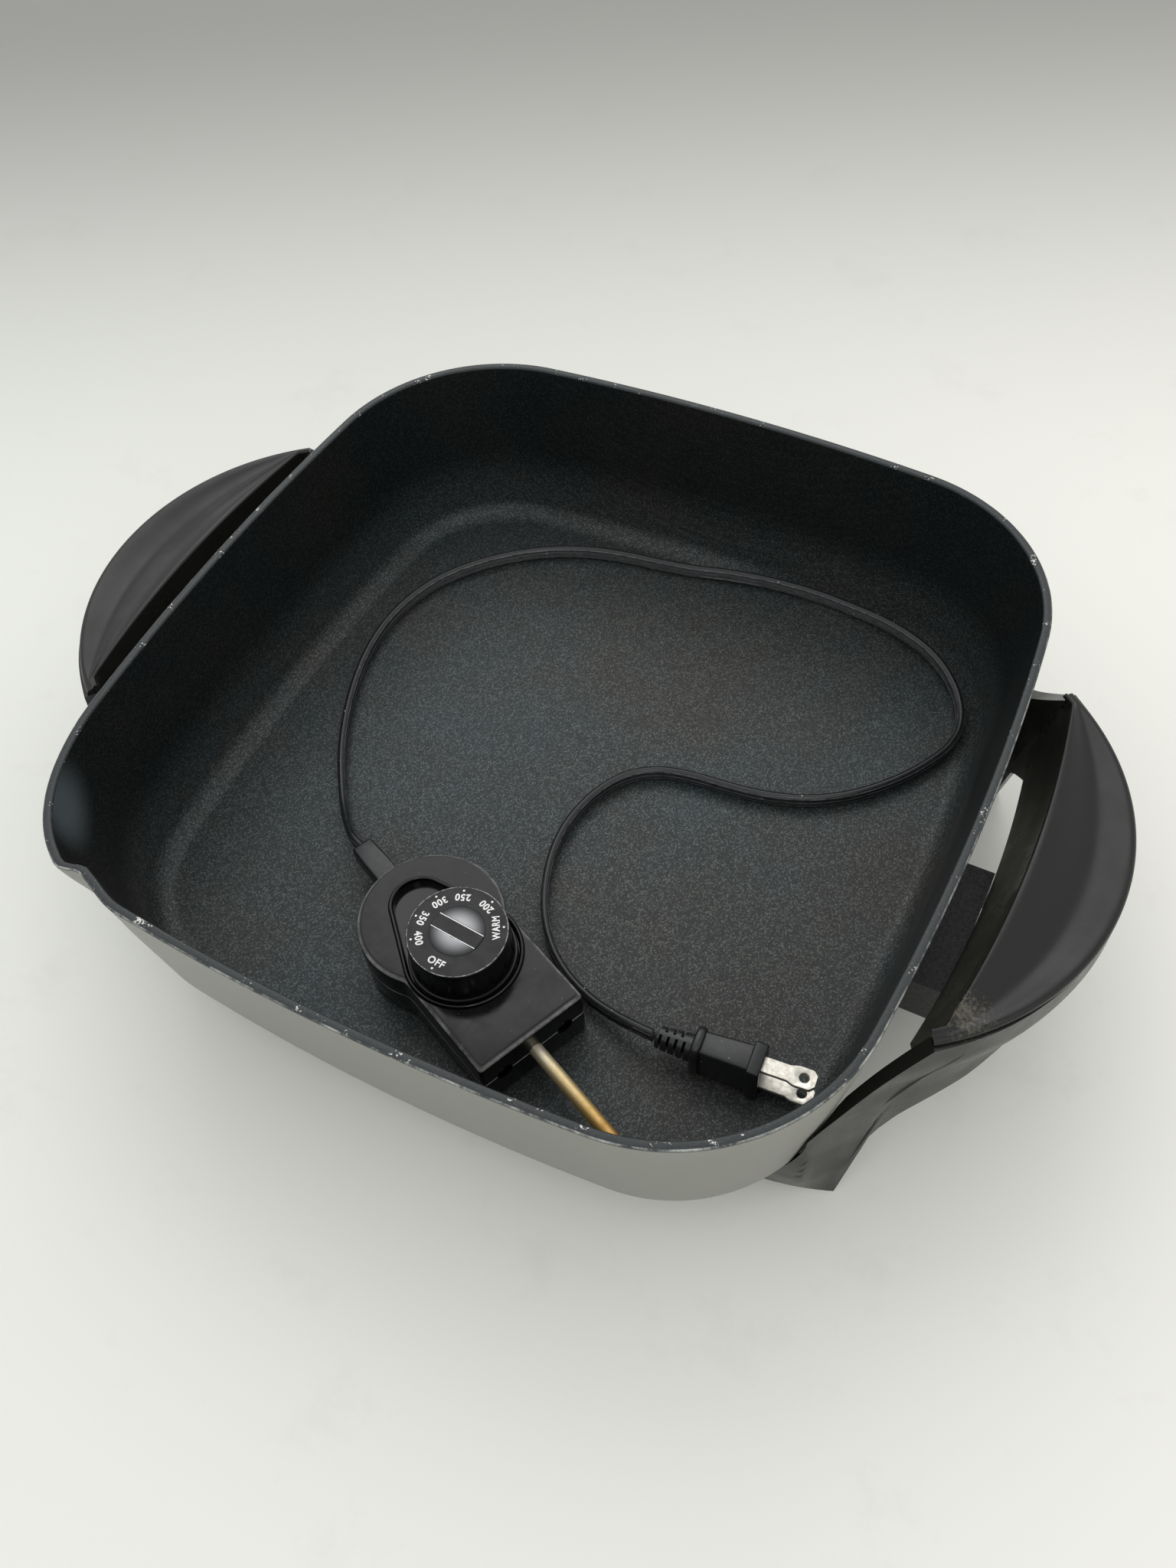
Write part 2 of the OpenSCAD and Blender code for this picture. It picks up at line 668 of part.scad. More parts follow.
// Switch: two leaf springs on an insulating block, moved by rod and cam.
leaf_t = 0.6;
moving_x = rod_end - leaf_t - slip;
fixed_x = moving_x - 2.8;
carrier_top = 7.5;
module contact_carrier() {
  color("#d9cfb8") laid() difference() {
    translate([fixed_x - 2.5, -9.5, ctl_t])
      cube([moving_x - fixed_x + 5.5, 19, carrier_top - ctl_t]);
    for (x = [moving_x, fixed_x]) translate([x - slip, -7, 4])
      cube([leaf_t + 2 * slip, 14, 10]);
  }
}
module leaf(x, w) {
  translate([x, -w / 2, 4 + slip]) cube([leaf_t, w, 13]);
}
rivet_z = 15.6;
module moving_contact() {
  color("#b8864a") laid() {
    leaf(moving_x, 12);
    translate([moving_x - 0.9, 3.5, rivet_z]) rotate([0, 90, 0])
      cylinder(r = 1.2, h = 0.9 + leaf_t / 2);
  }
}
module fixed_contact() {
  color("#b8864a") laid() {
    leaf(fixed_x, 12);
    translate([fixed_x + leaf_t / 2, 3.5, rivet_z]) rotate([0, 90, 0])
      cylinder(r = 1.2, h = 1.1);
  }
}
shaft_r = 3;
shaft_foot = 2.6;
cam_z = 11.5;
cam_h = 4;
cam_r = 7.5;
module cam_follower() {
  tip = -dial_x + cam_r + 0.3;
  color("#e8e2d4") laid() translate([tip, 0, cam_z + cam_h / 2])
    rotate([0, 90, 0]) cylinder(r = 1.5, h = fixed_x - slip - tip);
}
module socket_terminals() {
  color("#b9a06a") laid() for (s = [-1, 1])
    translate([-ctl_t - 0.3, s * lead_y, probe_z]) difference() {
      translate([-15, -socket_w / 2, -socket_h / 2])
        cube([15, socket_w, socket_h]);
      translate([-13, 0, 0]) rotate([0, 90, 0])
        cylinder(r = pin_r + slip, h = 20);
    }
}
// Leads: short round wires from the relief to the terminals and switch.
wire_r = 0.9;
function wire_path(s) = [[-75, 1.6 * s, 12.3], [-66, 4 * s, 12],
  [-56, 10 * s, 10], [-47, 14 * s, 10], [-39, 14 * s, 10.5],
  [-32, 10.9 * s, 12.5], [-24, 10.8 * s, 13.5], [-17.6, 11.5 * s, 13.5]];
module tube_path(path, r, n) {
  m = len(path);
  loft([for (i = [0:m - 1])
    let (d = path[min(i + 1, m - 1)] - path[max(i - 1, 0)],
      a = atan2(d[1], d[0]), e = atan2(d[2], norm([d[0], d[1]])))
      [for (k = [0:n - 1]) let (t = 360 * k / n,
        p = [0, r * cos(t), r * sin(t)],
        q = [-p[2] * sin(e), p[1], p[2] * cos(e)],
        w = turn2(q, a)) path[i] + [w[0], w[1], q[2]]]]);
}
module lead_wires() {
  color("#e8e8e0") laid() for (s = [-1, 1]) tube_path(wire_path(s), wire_r, 8);
}
relief_back = -106.5;
module strain_relief() {
  h = relief_z[1] - relief_z[0];
  x0 = -ctl_round_x - ctl_round_r;
  color(black) laid() difference() {
    union() {
      translate([relief_back, -relief_w / 2, relief_z[0]])
        cube([x0 + 6 - relief_back, relief_w, h]);
      translate([x0 + ctl_t + 0.9, -5.2, relief_z[0] - 2])
        cube([3.5, 10.4, h + 4]);
    }
    for (i = [0:2]) for (s = [-1, 1])
      translate([relief_back + 4.5 + 5 * i, s * relief_w / 2, 0])
        cylinder(r = 0.9, h = 40);
    translate([relief_back - 1, -cord_t / 2 - slip, (relief_z[0]
        + relief_z[1] - cord_w) / 2 - slip])
      cube([1 + cord_in, cord_t + 2 * slip, cord_w + 2 * slip]);
  }
}

// ------------------------------------------------------------------ dial
module flat_shaft(r, h, flat) {
  intersection() {
    cylinder(r = r, h = h);
    translate([-2 * r, -2 * r, -1]) cube([4 * r, 2 * r + flat, h + 2]);
  }
}
knob_foot = ctl_h - recess_d + 0.6;
knob_t = 2;
skirt_h = 3;
flutes = 16;
insert_r = 9.5;
insert_t = 0.8;
shaft_top = dial_z - knob_t - 1;
module dial_knob() {
  color(black) laid() translate([-dial_x, 0, 0]) difference() {
    union() {
      difference() {
        union() {
          translate([0, 0, knob_foot]) cylinder(r = dial_r + 1.4, h = skirt_h);
          translate([0, 0, knob_foot]) rotate_extrude() polygon(concat(
            [[0, 0.5], [dial_r + 0.5, 0.5]],
            arc_pts([dial_r - 0.8, dial_z - knob_foot - 0.8], 0.8, 0, 90, 5),
            [[0, dial_z - knob_foot]]));
        }
        translate([0, 0, knob_foot - 1])
          cylinder(r = dial_r - knob_t, h = dial_z - knob_t - knob_foot + 1);
      }
      translate([0, 0, knob_foot]) cylinder(r = shaft_r + 2.4,
        h = dial_z - knob_foot - 1);
    }
    translate([0, 0, knob_foot - 1])
      flat_shaft(shaft_r + slip, shaft_top - knob_foot + 1 + fit, 2 + slip);
    translate([0, 0, dial_z - insert_t + 0.3]) cylinder(r = insert_r + slip, h = 5);
    for (i = [0:flutes - 1]) rotate([0, 0, (i + 0.5) * 360 / flutes])
      translate([dial_r + 0.9, 0, knob_foot + skirt_h + 0.4])
        cylinder(r = 1.5, h = 40);
  }
}
module dial_insert() {
  color("#c9c9c6") laid() translate([-dial_x, 0, dial_z - insert_t + 0.3])
    rotate_extrude() polygon(concat([[0, 0]], [[insert_r, 0]],
      arc_pts([insert_r - 0.5, insert_t - 0.5], 0.5, 0, 90, 4),
      [[0, insert_t]]));
}
module dial_shaft() {
  color(steel) laid() translate([-dial_x, 0, 0]) difference() {
    union() {
      translate([0, 0, shaft_foot]) cylinder(r = shaft_r, h = clip_z - shaft_foot);
      translate([0, 0, clip_z]) cylinder(r = shaft_r - 0.7, h = clip_t);
      translate([0, 0, clip_z + clip_t])
        cylinder(r = shaft_r, h = knob_foot - clip_z - clip_t);
      translate([0, 0, knob_foot])
        flat_shaft(shaft_r, shaft_top - knob_foot, 2);
    }
  }
}
clip_t = 0.8;
clip_z = ctl_h - recess_d - ctl_t - 0.3 - clip_t;
module shaft_clip() {
  color(steel) laid() translate([-dial_x, 0, clip_z]) difference() {
    cylinder(r = shaft_r + 1.8, h = clip_t);
    translate([0, 0, -1]) cylinder(r = shaft_r - 0.7 + slip, h = 4);
    translate([0, -1.6, -1]) cube([10, 3.2, 4]);
  }
}
// Cam whose radius falls steadily from the follower round one turn.
function cam_pts(r) = [for (a = [0:6:354]) let (q = r - 2.2 * a / 354)
  [q * cos(a), -q * sin(a)]];
module dial_cam() {
  color("#e8e2d4") laid() translate([-dial_x, 0, cam_z]) difference() {
    linear_extrude(cam_h) polygon(cam_pts(cam_r));
    translate([0, 0, -1]) cylinder(r = shaft_r + 0.02, h = cam_h + 2);
  }
}

// --------------------------------------------------------- plug and cord
plug_at = [112, -81.3];
plug_turn = 5;
module plugged() {
  translate([plug_at[0], plug_at[1], floor_z + seat + plug_h / 2])
    rotate([0, 0, plug_turn]) children();
}
blade_l = 18;
body_l = 24;
relief_l = 13;
hood_t = 4.4;
module plug_solid(x0, x1, h0, h1, t0, t1) {
  loft([for (e = [[x0, h0, t0], [x1, h1, t1]]) let (c = 1.4)
    [for (k = [[-1, -1, 1, 0], [-1, -1, 0, 1], [-1, 1, 0, -1], [-1, 1, 1, 0],
      [1, 1, -1, 0], [1, 1, 0, -1], [1, -1, 0, 1], [1, -1, -1, 0]])
      [e[0], -k[0] * e[2] / 2 - c * k[2], k[1] * e[1] / 2 + c * k[3]]]]);
}
module plug_body() {
  color(black) plugged() difference() {
    union() {
      plug_solid(-hood_t, 0, plug_h, plug_h, plug_t + 1.6, plug_t + 1.6);
      plug_solid(-body_l + 3, -hood_t + eps, plug_h - 3.6, plug_h - 1.4,
        plug_t - 2, plug_t - 0.6);
      plug_solid(-body_l, -body_l + 3.2, plug_h - 1, plug_h - 1,
        plug_t + 2, plug_t + 2);
      translate([-body_l - relief_l, 0, 0]) rotate([0, 90, 0])
        cylinder(r1 = 3.9, r2 = 5, h = relief_l + 1);
    }
    // alternate notches that let the relief bend
    for (i = [0:3], s = [-1, 1])
      translate([-body_l - 3 - 2.8 * i - (s > 0 ? 1.4 : 0), 0, 0])
        translate([-0.45, s > 0 ? 0.6 : -8.6, -8])
          cube([0.9, 8, 16]);
    for (s = [-1, 1]) translate([-6, -blade_w / 2 - slip,
        s * blade_gap / 2 - blade_t / 2 - slip])
      cube([10, blade_w + 2 * slip, blade_t + 2 * slip]);
    translate([-body_l - relief_l - 1, -cord_t / 2 - slip,
        -cord_w / 2 - slip])
      cube([cord_in + 1, cord_t + 2 * slip, cord_w + 2 * slip]);
  }
}
blade_t = 1.5;
cord_in = 1.5;
module plug_blades() {
  color("#d8d4c8") plugged() for (s = [-1, 1])
    translate([0, 0, s * blade_gap / 2 - blade_t / 2]) difference() {
      union() {
        translate([-5.9, -blade_w / 2 + 0.3, 0])
          cube([5.9 + blade_l - 6, blade_w - 0.6, blade_t]);
        linear_extrude(blade_t) polygon([[blade_l - 9, blade_w / 2 - 0.3],
          [blade_l - 7, blade_w / 2 + 0.6], [blade_l - 1.6, blade_w / 2 + 0.6],
          [blade_l, blade_w / 2 - 1.2], [blade_l, 1.2 - blade_w / 2],
          [blade_l - 1.6, -blade_w / 2 - 0.6], [blade_l - 7, -blade_w / 2 - 0.6],
          [blade_l - 9, 0.3 - blade_w / 2]]);
      }
      translate([blade_l - 4.2, 0, -1]) cylinder(r = 1.6, h = 4);
    }
}
// Middle of the cord, from the strain relief to the plug.
cord_route = [
  [-55.9, -64.5, 45], [-62.3, -61.7, 44], [-69.2, -56.1, 40.5],
  [-77, -48, 37.2], [-84, -39.3, 36], [-92.5, -26.8, 36],
  [-100, -13, 36], [-106.3, 1.7, 36], [-111.3, 17.5, 36], [-114, 33, 36],
  [-114, 48, 36], [-111, 62.5, 36], [-105.5, 75.5, 36], [-97, 87.3, 36],
  [-86.5, 97.8, 36], [-75, 106.3, 36], [-63, 112.7, 36], [-50, 117.3, 36],
  [-36, 120.2, 36], [-22, 122, 36], [-8, 124.2, 36.2], [7, 127.6, 36.6],
  [22, 130, 37], [36, 131, 37.3], [50, 131, 37.5], [64, 129.7, 37.7],
  [78, 127.7, 37.9], [92, 123.6, 38], [104, 117.4, 37.8],
  [113.6, 109, 37.2], [120.6, 99, 36.4], [124, 88, 36], [123, 77, 36],
  [118.3, 66.3, 36], [111.8, 56, 36], [103.8, 46.6, 36], [94.5, 38.3, 36],
  [82.5, 31.2, 36], [68, 26.4, 36], [53, 24.2, 36], [38, 22.8, 36],
  [25.3, 19.4, 36], [15, 11.8, 36], [8.2, -0.5, 36], [5, -16, 36],
  [6, -31, 36], [10.4, -45.2, 36], [16.8, -57.4, 36], [25, -67.2, 36],
  [35.2, -74.7, 36.4], [47, -80, 37.6], [58.5, -83, 39.8],
  [67, -84.4, 41.9], [73.6, -84.9, 42.7]];
cord_sec = [for (p = [[-1, -0.62], [-0.55, -1], [0.55, -1], [1, -0.62],
  [1, 0.62], [0.55, 1], [-0.55, 1], [-1, 0.62]])
  [p[0] * cord_t / 2, p[1] * cord_w / 2]];
module cord() {
  m = len(cord_route);
  color("#1b1b1b") loft([for (i = [0:m - 1])
    let (d = cord_route[min(i + 1, m - 1)] - cord_route[max(i - 1, 0)],
      side = [-d[1], d[0], 0] / norm([d[0], d[1]]))
      [for (p = cord_sec) cord_route[i] + side * p[0] + [0, 0, p[1]]]]);
}

pan();
heating_element();
terminal_pins();
terminal_insulators();
terminal_guard();
guard_screws();
right_handle();
left_handle();
handle_screws();
handle_washers();
control_top();
control_base();
base_screws();
probe_tube();
probe_collar();
sensing_rod();
contact_carrier();
moving_contact();
fixed_contact();
cam_follower();
socket_terminals();
lead_wires();
strain_relief();
cord();
plug_body();
plug_blades();
dial_knob();
dial_insert();
dial_shaft();
dial_cam();
shaft_clip();
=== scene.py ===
# %% [markdown]
# # A square electric skillet with its heat control lying in the pan
#
# The skillet is a die-cast aluminium pan with a dark non-stick coating
# inside and pale paint outside. Two black phenolic handles run down into
# legs. The heat control, a black housing with a dial, a steel probe and a
# flat cord, lies loose on the cooking floor. Each cell below makes one of
# these pieces or one of their finishes, and prints what it made.

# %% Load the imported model
import math

import bmesh
import bpy
import numpy as np
from mathutils import Euler, Matrix, Vector


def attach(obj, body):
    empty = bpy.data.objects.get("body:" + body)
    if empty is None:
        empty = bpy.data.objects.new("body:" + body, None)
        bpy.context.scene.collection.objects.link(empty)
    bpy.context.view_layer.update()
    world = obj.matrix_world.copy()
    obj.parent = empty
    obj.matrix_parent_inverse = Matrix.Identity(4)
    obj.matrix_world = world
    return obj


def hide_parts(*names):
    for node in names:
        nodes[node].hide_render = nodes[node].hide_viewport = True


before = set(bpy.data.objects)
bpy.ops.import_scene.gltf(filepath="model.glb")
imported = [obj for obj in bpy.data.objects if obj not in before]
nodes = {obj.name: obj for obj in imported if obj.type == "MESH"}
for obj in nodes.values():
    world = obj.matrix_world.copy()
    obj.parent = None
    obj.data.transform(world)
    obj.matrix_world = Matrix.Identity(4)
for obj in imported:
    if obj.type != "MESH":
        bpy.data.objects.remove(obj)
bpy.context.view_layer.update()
MM = 0.001

# %% [markdown]
# ## Camera
#
# The camera looks down from the front right corner, a little rolled, with
# the wide lens of a hand-held camera. It is made first, because the cord's
# room is judged from what it sees.

# %% Camera
LENS_MM, SENSOR_MM = 31.2, 36
CAMERA_AT, CAMERA_TURN = (0.16637, -0.26085, 0.46576), (35.695, 3.254, 27.207)
camera_data = bpy.data.cameras.new("camera")
camera_data.lens = LENS_MM
camera_data.sensor_width = SENSOR_MM
camera_data.clip_start = 0.01
camera = bpy.data.objects.new("camera", camera_data)
camera.location = CAMERA_AT
camera.rotation_euler = Euler([math.radians(a) for a in CAMERA_TURN])
bpy.context.scene.collection.objects.link(camera)
bpy.context.scene.camera = camera
print("camera at", tuple(round(c, 3) for c in camera.location))

# %% [markdown]
# ## Small tools
#
# Every shape below is worked out in millimetres. A shell is a list of rows
# of points, and neighbouring rows are joined by quads. `piece` collects such
# shells into one mesh in metres, merges what coincides and turns the faces
# outwards.


# %% Tools for shapes
def clamp(v, low, high):
    return max(low, min(high, v))


def mix(a, b, t):
    return a * (1 - t) + b * t


def ramp(v, a, b):
    t = clamp((v - a) / (b - a), 0, 1)
    return t * t * (3 - 2 * t)


def sind(a):
    return math.sin(math.radians(a))


def cosd(a):
    return math.cos(math.radians(a))


def arc(cx, cy, r, a0, a1, steps):
    """Points on an arc, from angle a0 to a1 in degrees."""
    angles = [mix(a0, a1, i / steps) for i in range(steps + 1)]
    return [(cx + r * cosd(a), cy + r * sind(a)) for a in angles]


def skin(rows, ring=False, caps=False):
    """Quads between rows of points; ring closes each row on itself."""
    width = len(rows[0])
    points = [p for row in rows for p in row]
    faces = []
    for j in range(len(rows) - 1):
        for i in range(width if ring else width - 1):
            k = (i + 1) % width
            faces.append((j * width + i, j * width + k,
                          (j + 1) * width + k, (j + 1) * width + i))
    if caps:
        last = (len(rows) - 1) * width
        faces.append(tuple(range(width))[::-1])
        faces.append(tuple(last + i for i in range(width)))
    return points, faces


def circle(r, step):
    """Points round a circle, one every step degrees."""
    return [(r * cosd(a), r * sind(a)) for a in range(0, 360, step)]


def mark_sharp(mesh, angle):
    """Smooth shading, with edges sharper than this angle left crisp."""
    mesh.shade_smooth()
    mesh.set_sharp_from_angle(angle=math.radians(angle))


MERGE = 0.002


def piece(name, shells, materials, smooth_angle=35):
    """One object from (points, faces, slot or slots) shells in millimetres."""
    mesh = bpy.data.meshes.new(name)
    bm = bmesh.new()
    for points, faces, slots in shells:
        part = bmesh.new()
        verts = [part.verts.new(Vector(p) * MM) for p in points]
        if isinstance(slots, int):
            slots = [slots] * len(faces)
        for face, slot in zip(faces, slots):
            part.faces.new([verts[i] for i in face]).material_index = slot
        bmesh.ops.remove_doubles(part, verts=part.verts, dist=MERGE * MM)
        bmesh.ops.dissolve_degenerate(part, edges=part.edges,
                                      dist=MERGE * MM / 4)
        bmesh.ops.recalc_face_normals(part, faces=part.faces)
        held = bpy.data.meshes.new("part")
        part.to_mesh(held)
        part.free()
        bm.from_mesh(held)
        bpy.data.meshes.remove(held)
    bm.to_mesh(mesh)
    bm.free()
    for material in materials:
        mesh.materials.append(material)
    mark_sharp(mesh, smooth_angle)
    thing = bpy.data.objects.new(name, mesh)
    bpy.context.scene.collection.objects.link(thing)
    print(name, len(mesh.polygons), "faces")
    return thing


# %% [markdown]
# A modifier is applied by taking the evaluated mesh and putting it back in
# the object, so that a finished piece is a plain mesh. `carve` cuts a closed
# shell out of a piece, as a core pin leaves a hole in a moulding. `soften`
# rounds its sharp edges, because no mould or die has a truly sharp one.


# %% Tools for modifiers and node trees
def applied(thing):
    """Puts the evaluated mesh in the object and drops its modifiers."""
    graph = bpy.context.evaluated_depsgraph_get()
    fresh = bpy.data.meshes.new_from_object(thing.evaluated_get(graph))
    thing.modifiers.clear()
    thing.data = fresh
    return thing


def carve(thing, points, faces, material, clean_self=False):
    """Cuts a closed shell out of the piece for good."""
    tool = piece("cutter", [(points, faces, 0)], [material])
    cut = thing.modifiers.new("cut", "BOOLEAN")
    cut.operation = "DIFFERENCE"
    cut.solver = "EXACT"
    cut.use_self = clean_self
    cut.object = tool
    applied(thing)
    bpy.data.objects.remove(tool)


def soften(thing, width, segments=2):
    """Rounds the piece's sharp edges by this many millimetres."""
    bevel = thing.modifiers.new("rounded_edges", "BEVEL")
    bevel.width = width * MM
    bevel.segments = segments
    bevel.limit_method = "ANGLE"
    bevel.angle_limit = math.radians(50)


def feed(tree, socket, value):
    """Links another socket to this one, or sets it to a constant."""
    if isinstance(value, bpy.types.NodeSocket):
        tree.links.new(value, socket)
    else:
        socket.default_value = value


def add(tree, kind, inputs=None, out=0, **settings):
    """Adds a node, sets it up, and returns its output out, or the node."""
    made = tree.nodes.new(kind)
    for key, value in settings.items():
        setattr(made, key, value)
    for key, value in (inputs or {}).items():
        feed(tree, made.inputs[key], value)
    return made if out is None else made.outputs[out]


def hex_colour(text):
    """sRGB hex to the linear values that a socket takes."""
    channels = [int(text[i:i + 2], 16) / 255 for i in (0, 2, 4)]
    linear = [c / 12.92 if c <= 0.04045 else ((c + 0.055) / 1.055) ** 2.4
              for c in channels]
    return (*linear, 1)


def per_mm(size):
    """Texture scale whose cells are about this many millimetres across."""
    return 1 / (size * MM)


def new_material(name):
    """A material, its tree, its shader and its Object coordinates."""
    material = bpy.data.materials.new(name)
    material.use_nodes = True
    tree = material.node_tree
    shader = tree.nodes["Principled BSDF"]
    place = add(tree, "ShaderNodeTexCoord", out="Object")
    print("finish", name)
    return material, tree, shader, place


def wire(tree, shader, **sockets):
    """Links or fills the shader's sockets, with _ for a space."""
    for key, value in sockets.items():
        feed(tree, shader.inputs[key.replace("_", " ")], value)


# %% [markdown]
# ## Finishes
#
# Each finish starts from what the real one is and how its surface was made.
# The cooking surface is a sprayed, baked fluoropolymer coating. It is nearly
# black, with a soft satin haze. Fine metal flakes in the top coat, each of its
# own brightness, are drawn 0.6 mm apart, coarser than real ones, so that they
# show. Sprayed droplets leave a slight orange-peel texture, and pouring has
# rubbed the coating grey inside the lip. Fewer flakes are drawn up the walls,
# so the walls stay blacker: this is painted shade.

# %% Sprayed non-stick coating
sprayed_coating, tree, shader, place = new_material(
    "sprayed_nonstick_coating")
dots = add(tree, "ShaderNodeTexVoronoi", {
    "Vector": place, "Scale": per_mm(0.6)}, out=None)
dot = add(tree, "ShaderNodeMapRange", {
    "Value": dots.outputs["Distance"], "From Min": 0.75, "From Max": 0.1})
sparkle = add(tree, "ShaderNodeMapRange", {
    "Value": dots.outputs["Color"], "From Min": 0.3, "From Max": 1.0,
    "To Max": 0.62})
bottom = add(tree, "ShaderNodeSeparateXYZ", {"Vector": place}, out="Z")
# Painted shade: from 42 mm to 68 mm up, the flakes fade to a fifth, so the
# walls come out darker.
wall_shade_flake_share = add(tree, "ShaderNodeMapRange", {
    "Value": bottom, "From Min": 42 * MM, "From Max": 68 * MM,
    "To Min": 1.0, "To Max": 0.2}, interpolation_type="SMOOTHSTEP")
bright_dots = add(tree, "ShaderNodeMath", {0: dot, 1: sparkle, 2: 0.08},
                  operation="MULTIPLY_ADD")
flecks = add(tree, "ShaderNodeMath", {0: bright_dots, 1: wall_shade_flake_share},
             operation="MULTIPLY")
haze = add(tree, "ShaderNodeTexNoise", {
    "Vector": place, "Scale": per_mm(70), "Detail": 4.0, "Roughness": 0.6})
haze_tone = add(tree, "ShaderNodeMapRange", {
    "Value": haze, "From Min": 0.35, "From Max": 0.7})
ground = add(tree, "ShaderNodeMix", {
    0: haze_tone, 6: hex_colour("02080a"), 7: hex_colour("0a0a07")}, out=2,
    data_type="RGBA")
fleck_tone = add(tree, "ShaderNodeMix", {
    0: haze_tone, 6: hex_colour("808d90"), 7: hex_colour("8b8b84")}, out=2,
    data_type="RGBA")
speckled = add(tree, "ShaderNodeMix", {
    0: flecks, 6: ground, 7: fleck_tone}, out=2, data_type="RGBA")
from_lip = add(tree, "ShaderNodeVectorMath", {
    0: place, 1: (-0.130, -0.118, 0.099)}, out="Value", operation="DISTANCE")
poured = add(tree, "ShaderNodeMapRange", {
    "Value": from_lip, "From Min": 20 * MM, "From Max": 3 * MM,
    "To Max": 0.8}, interpolation_type="SMOOTHSTEP")
rubbed = add(tree, "ShaderNodeMix", {
    0: poured, 6: speckled, 7: hex_colour("5a6265")}, out=2,
    data_type="RGBA")
peel = add(tree, "ShaderNodeTexNoise", {
    "Vector": place, "Scale": per_mm(1.1), "Detail": 3.0, "Roughness": 0.65})
gloss = add(tree, "ShaderNodeMapRange", {
    "Value": haze, "From Min": 0.3, "From Max": 0.7, "To Min": 0.36,
    "To Max": 0.44})
peel_bump = add(tree, "ShaderNodeBump", {
    "Height": peel, "Distance": 0.1 * MM, "Strength": 0.9}, out="Normal")
wire(tree, shader, Base_Color=rubbed, Metallic=flecks, Roughness=gloss,
     Normal=peel_bump, IOR=1.34)

# %% [markdown]
# The outside of the pan has a baked enamel-like paint, warm grey and satin.
# Handling leaves it slightly uneven, and there are a few small dark specks.

# %% Baked outside paint
baked_paint, tree, shader, place = new_material("baked_grey_paint")
cloud = add(tree, "ShaderNodeTexNoise", {
    "Vector": place, "Scale": per_mm(45), "Detail": 5.0, "Roughness": 0.6})
cloud_tone = add(tree, "ShaderNodeMapRange", {
    "Value": cloud, "From Min": 0.3, "From Max": 0.7})
paint_colour = add(tree, "ShaderNodeMix", {
    0: cloud_tone, 6: hex_colour("7c7c74"), 7: hex_colour("898981")}, out=2,
    data_type="RGBA")
speck = add(tree, "ShaderNodeTexVoronoi", {
    "Vector": place, "Scale": per_mm(7), "Randomness": 1.0}, out="Distance")
speck_mask = add(tree, "ShaderNodeMapRange", {
    "Value": speck, "From Min": 0.05, "From Max": 0.02, "To Min": 0.0,
    "To Max": 0.6})
paint_specked = add(tree, "ShaderNodeMix", {
    0: speck_mask, 6: paint_colour, 7: hex_colour("6d6b66")}, out=2,
    data_type="RGBA")
paint_peel = add(tree, "ShaderNodeTexNoise", {
    "Vector": place, "Scale": per_mm(1.6), "Detail": 2.0})
paint_bump = add(tree, "ShaderNodeBump", {
    "Height": paint_peel, "Distance": 0.03 * MM, "Strength": 0.6},
    out="Normal")
paint_gloss = add(tree, "ShaderNodeMapRange", {
    "Value": cloud, "From Min": 0.3, "From Max": 0.7, "To Min": 0.34,
    "To Max": 0.45})
wire(tree, shader, Base_Color=paint_specked, Roughness=paint_gloss,
     Normal=paint_bump, IOR=1.5)

# %% [markdown]
# The rim has the same coating, but it is ground flat and knocked about, so
# it is greyer, and bare aluminium shows in small chips along its edges.

# %% Worn rim
worn_rim, tree, shader, place = new_material("coated_rim_with_chips")
chip = add(tree, "ShaderNodeTexNoise", {
    "Vector": place, "Scale": per_mm(0.8), "Detail": 2.0, "Roughness": 0.6})
chip_place = add(tree, "ShaderNodeTexNoise", {
    "Vector": place, "Scale": per_mm(7), "Detail": 2.0})
chip_total = add(tree, "ShaderNodeMath", {0: chip, 1: chip_place},
                 operation="ADD")
chips = add(tree, "ShaderNodeMapRange", {
    "Value": chip_total, "From Min": 1.25, "From Max": 1.3})
rim_tone = add(tree, "ShaderNodeTexNoise", {
    "Vector": place, "Scale": per_mm(0.8), "Detail": 2.0})
rim_colour = add(tree, "ShaderNodeMix", {
    0: rim_tone, 6: hex_colour("121618"), 7: hex_colour("353a3a")}, out=2,
    data_type="RGBA")
rim_chipped = add(tree, "ShaderNodeMix", {
    0: chips, 6: rim_colour, 7: hex_colour("c2c2bd")}, out=2,
    data_type="RGBA")
rim_bump = add(tree, "ShaderNodeBump", {
    "Height": chip_total, "Distance": 0.15 * MM, "Strength": 0.6},
    out="Normal")
wire(tree, shader, Base_Color=rim_chipped, Metallic=chips, Roughness=0.42,
     Normal=rim_bump)

# %% [markdown]
# The rim's outer rounding is the part that touches sinks, shelves and other
# pans. There the coating is rubbed through, so a broken line of bare
# aluminium follows the edge. A coarse noise decides where, and the same mask
# turns the surface to metal, because paint and metal reflect differently.

# %% Rubbed outer edge of the rim
rubbed_edge, tree, shader, place = new_material("rubbed_edge_of_rim")
rub_place = add(tree, "ShaderNodeTexNoise", {
    "Vector": place, "Scale": per_mm(11), "Detail": 6.0, "Roughness": 0.75})
rub_mask = add(tree, "ShaderNodeMapRange", {
    "Value": rub_place, "From Min": 0.46, "From Max": 0.62})
rub_colour = add(tree, "ShaderNodeMix", {
    0: rub_mask, 6: hex_colour("34393a"), 7: hex_colour("b3b5b0")}, out=2,
    data_type="RGBA")
wire(tree, shader, Base_Color=rub_colour, Metallic=rub_mask, Roughness=0.4)

# %% [markdown]
# Under the pan the casting is bare aluminium: grey, dull and slightly
# grainy, as it comes out of a steel die.

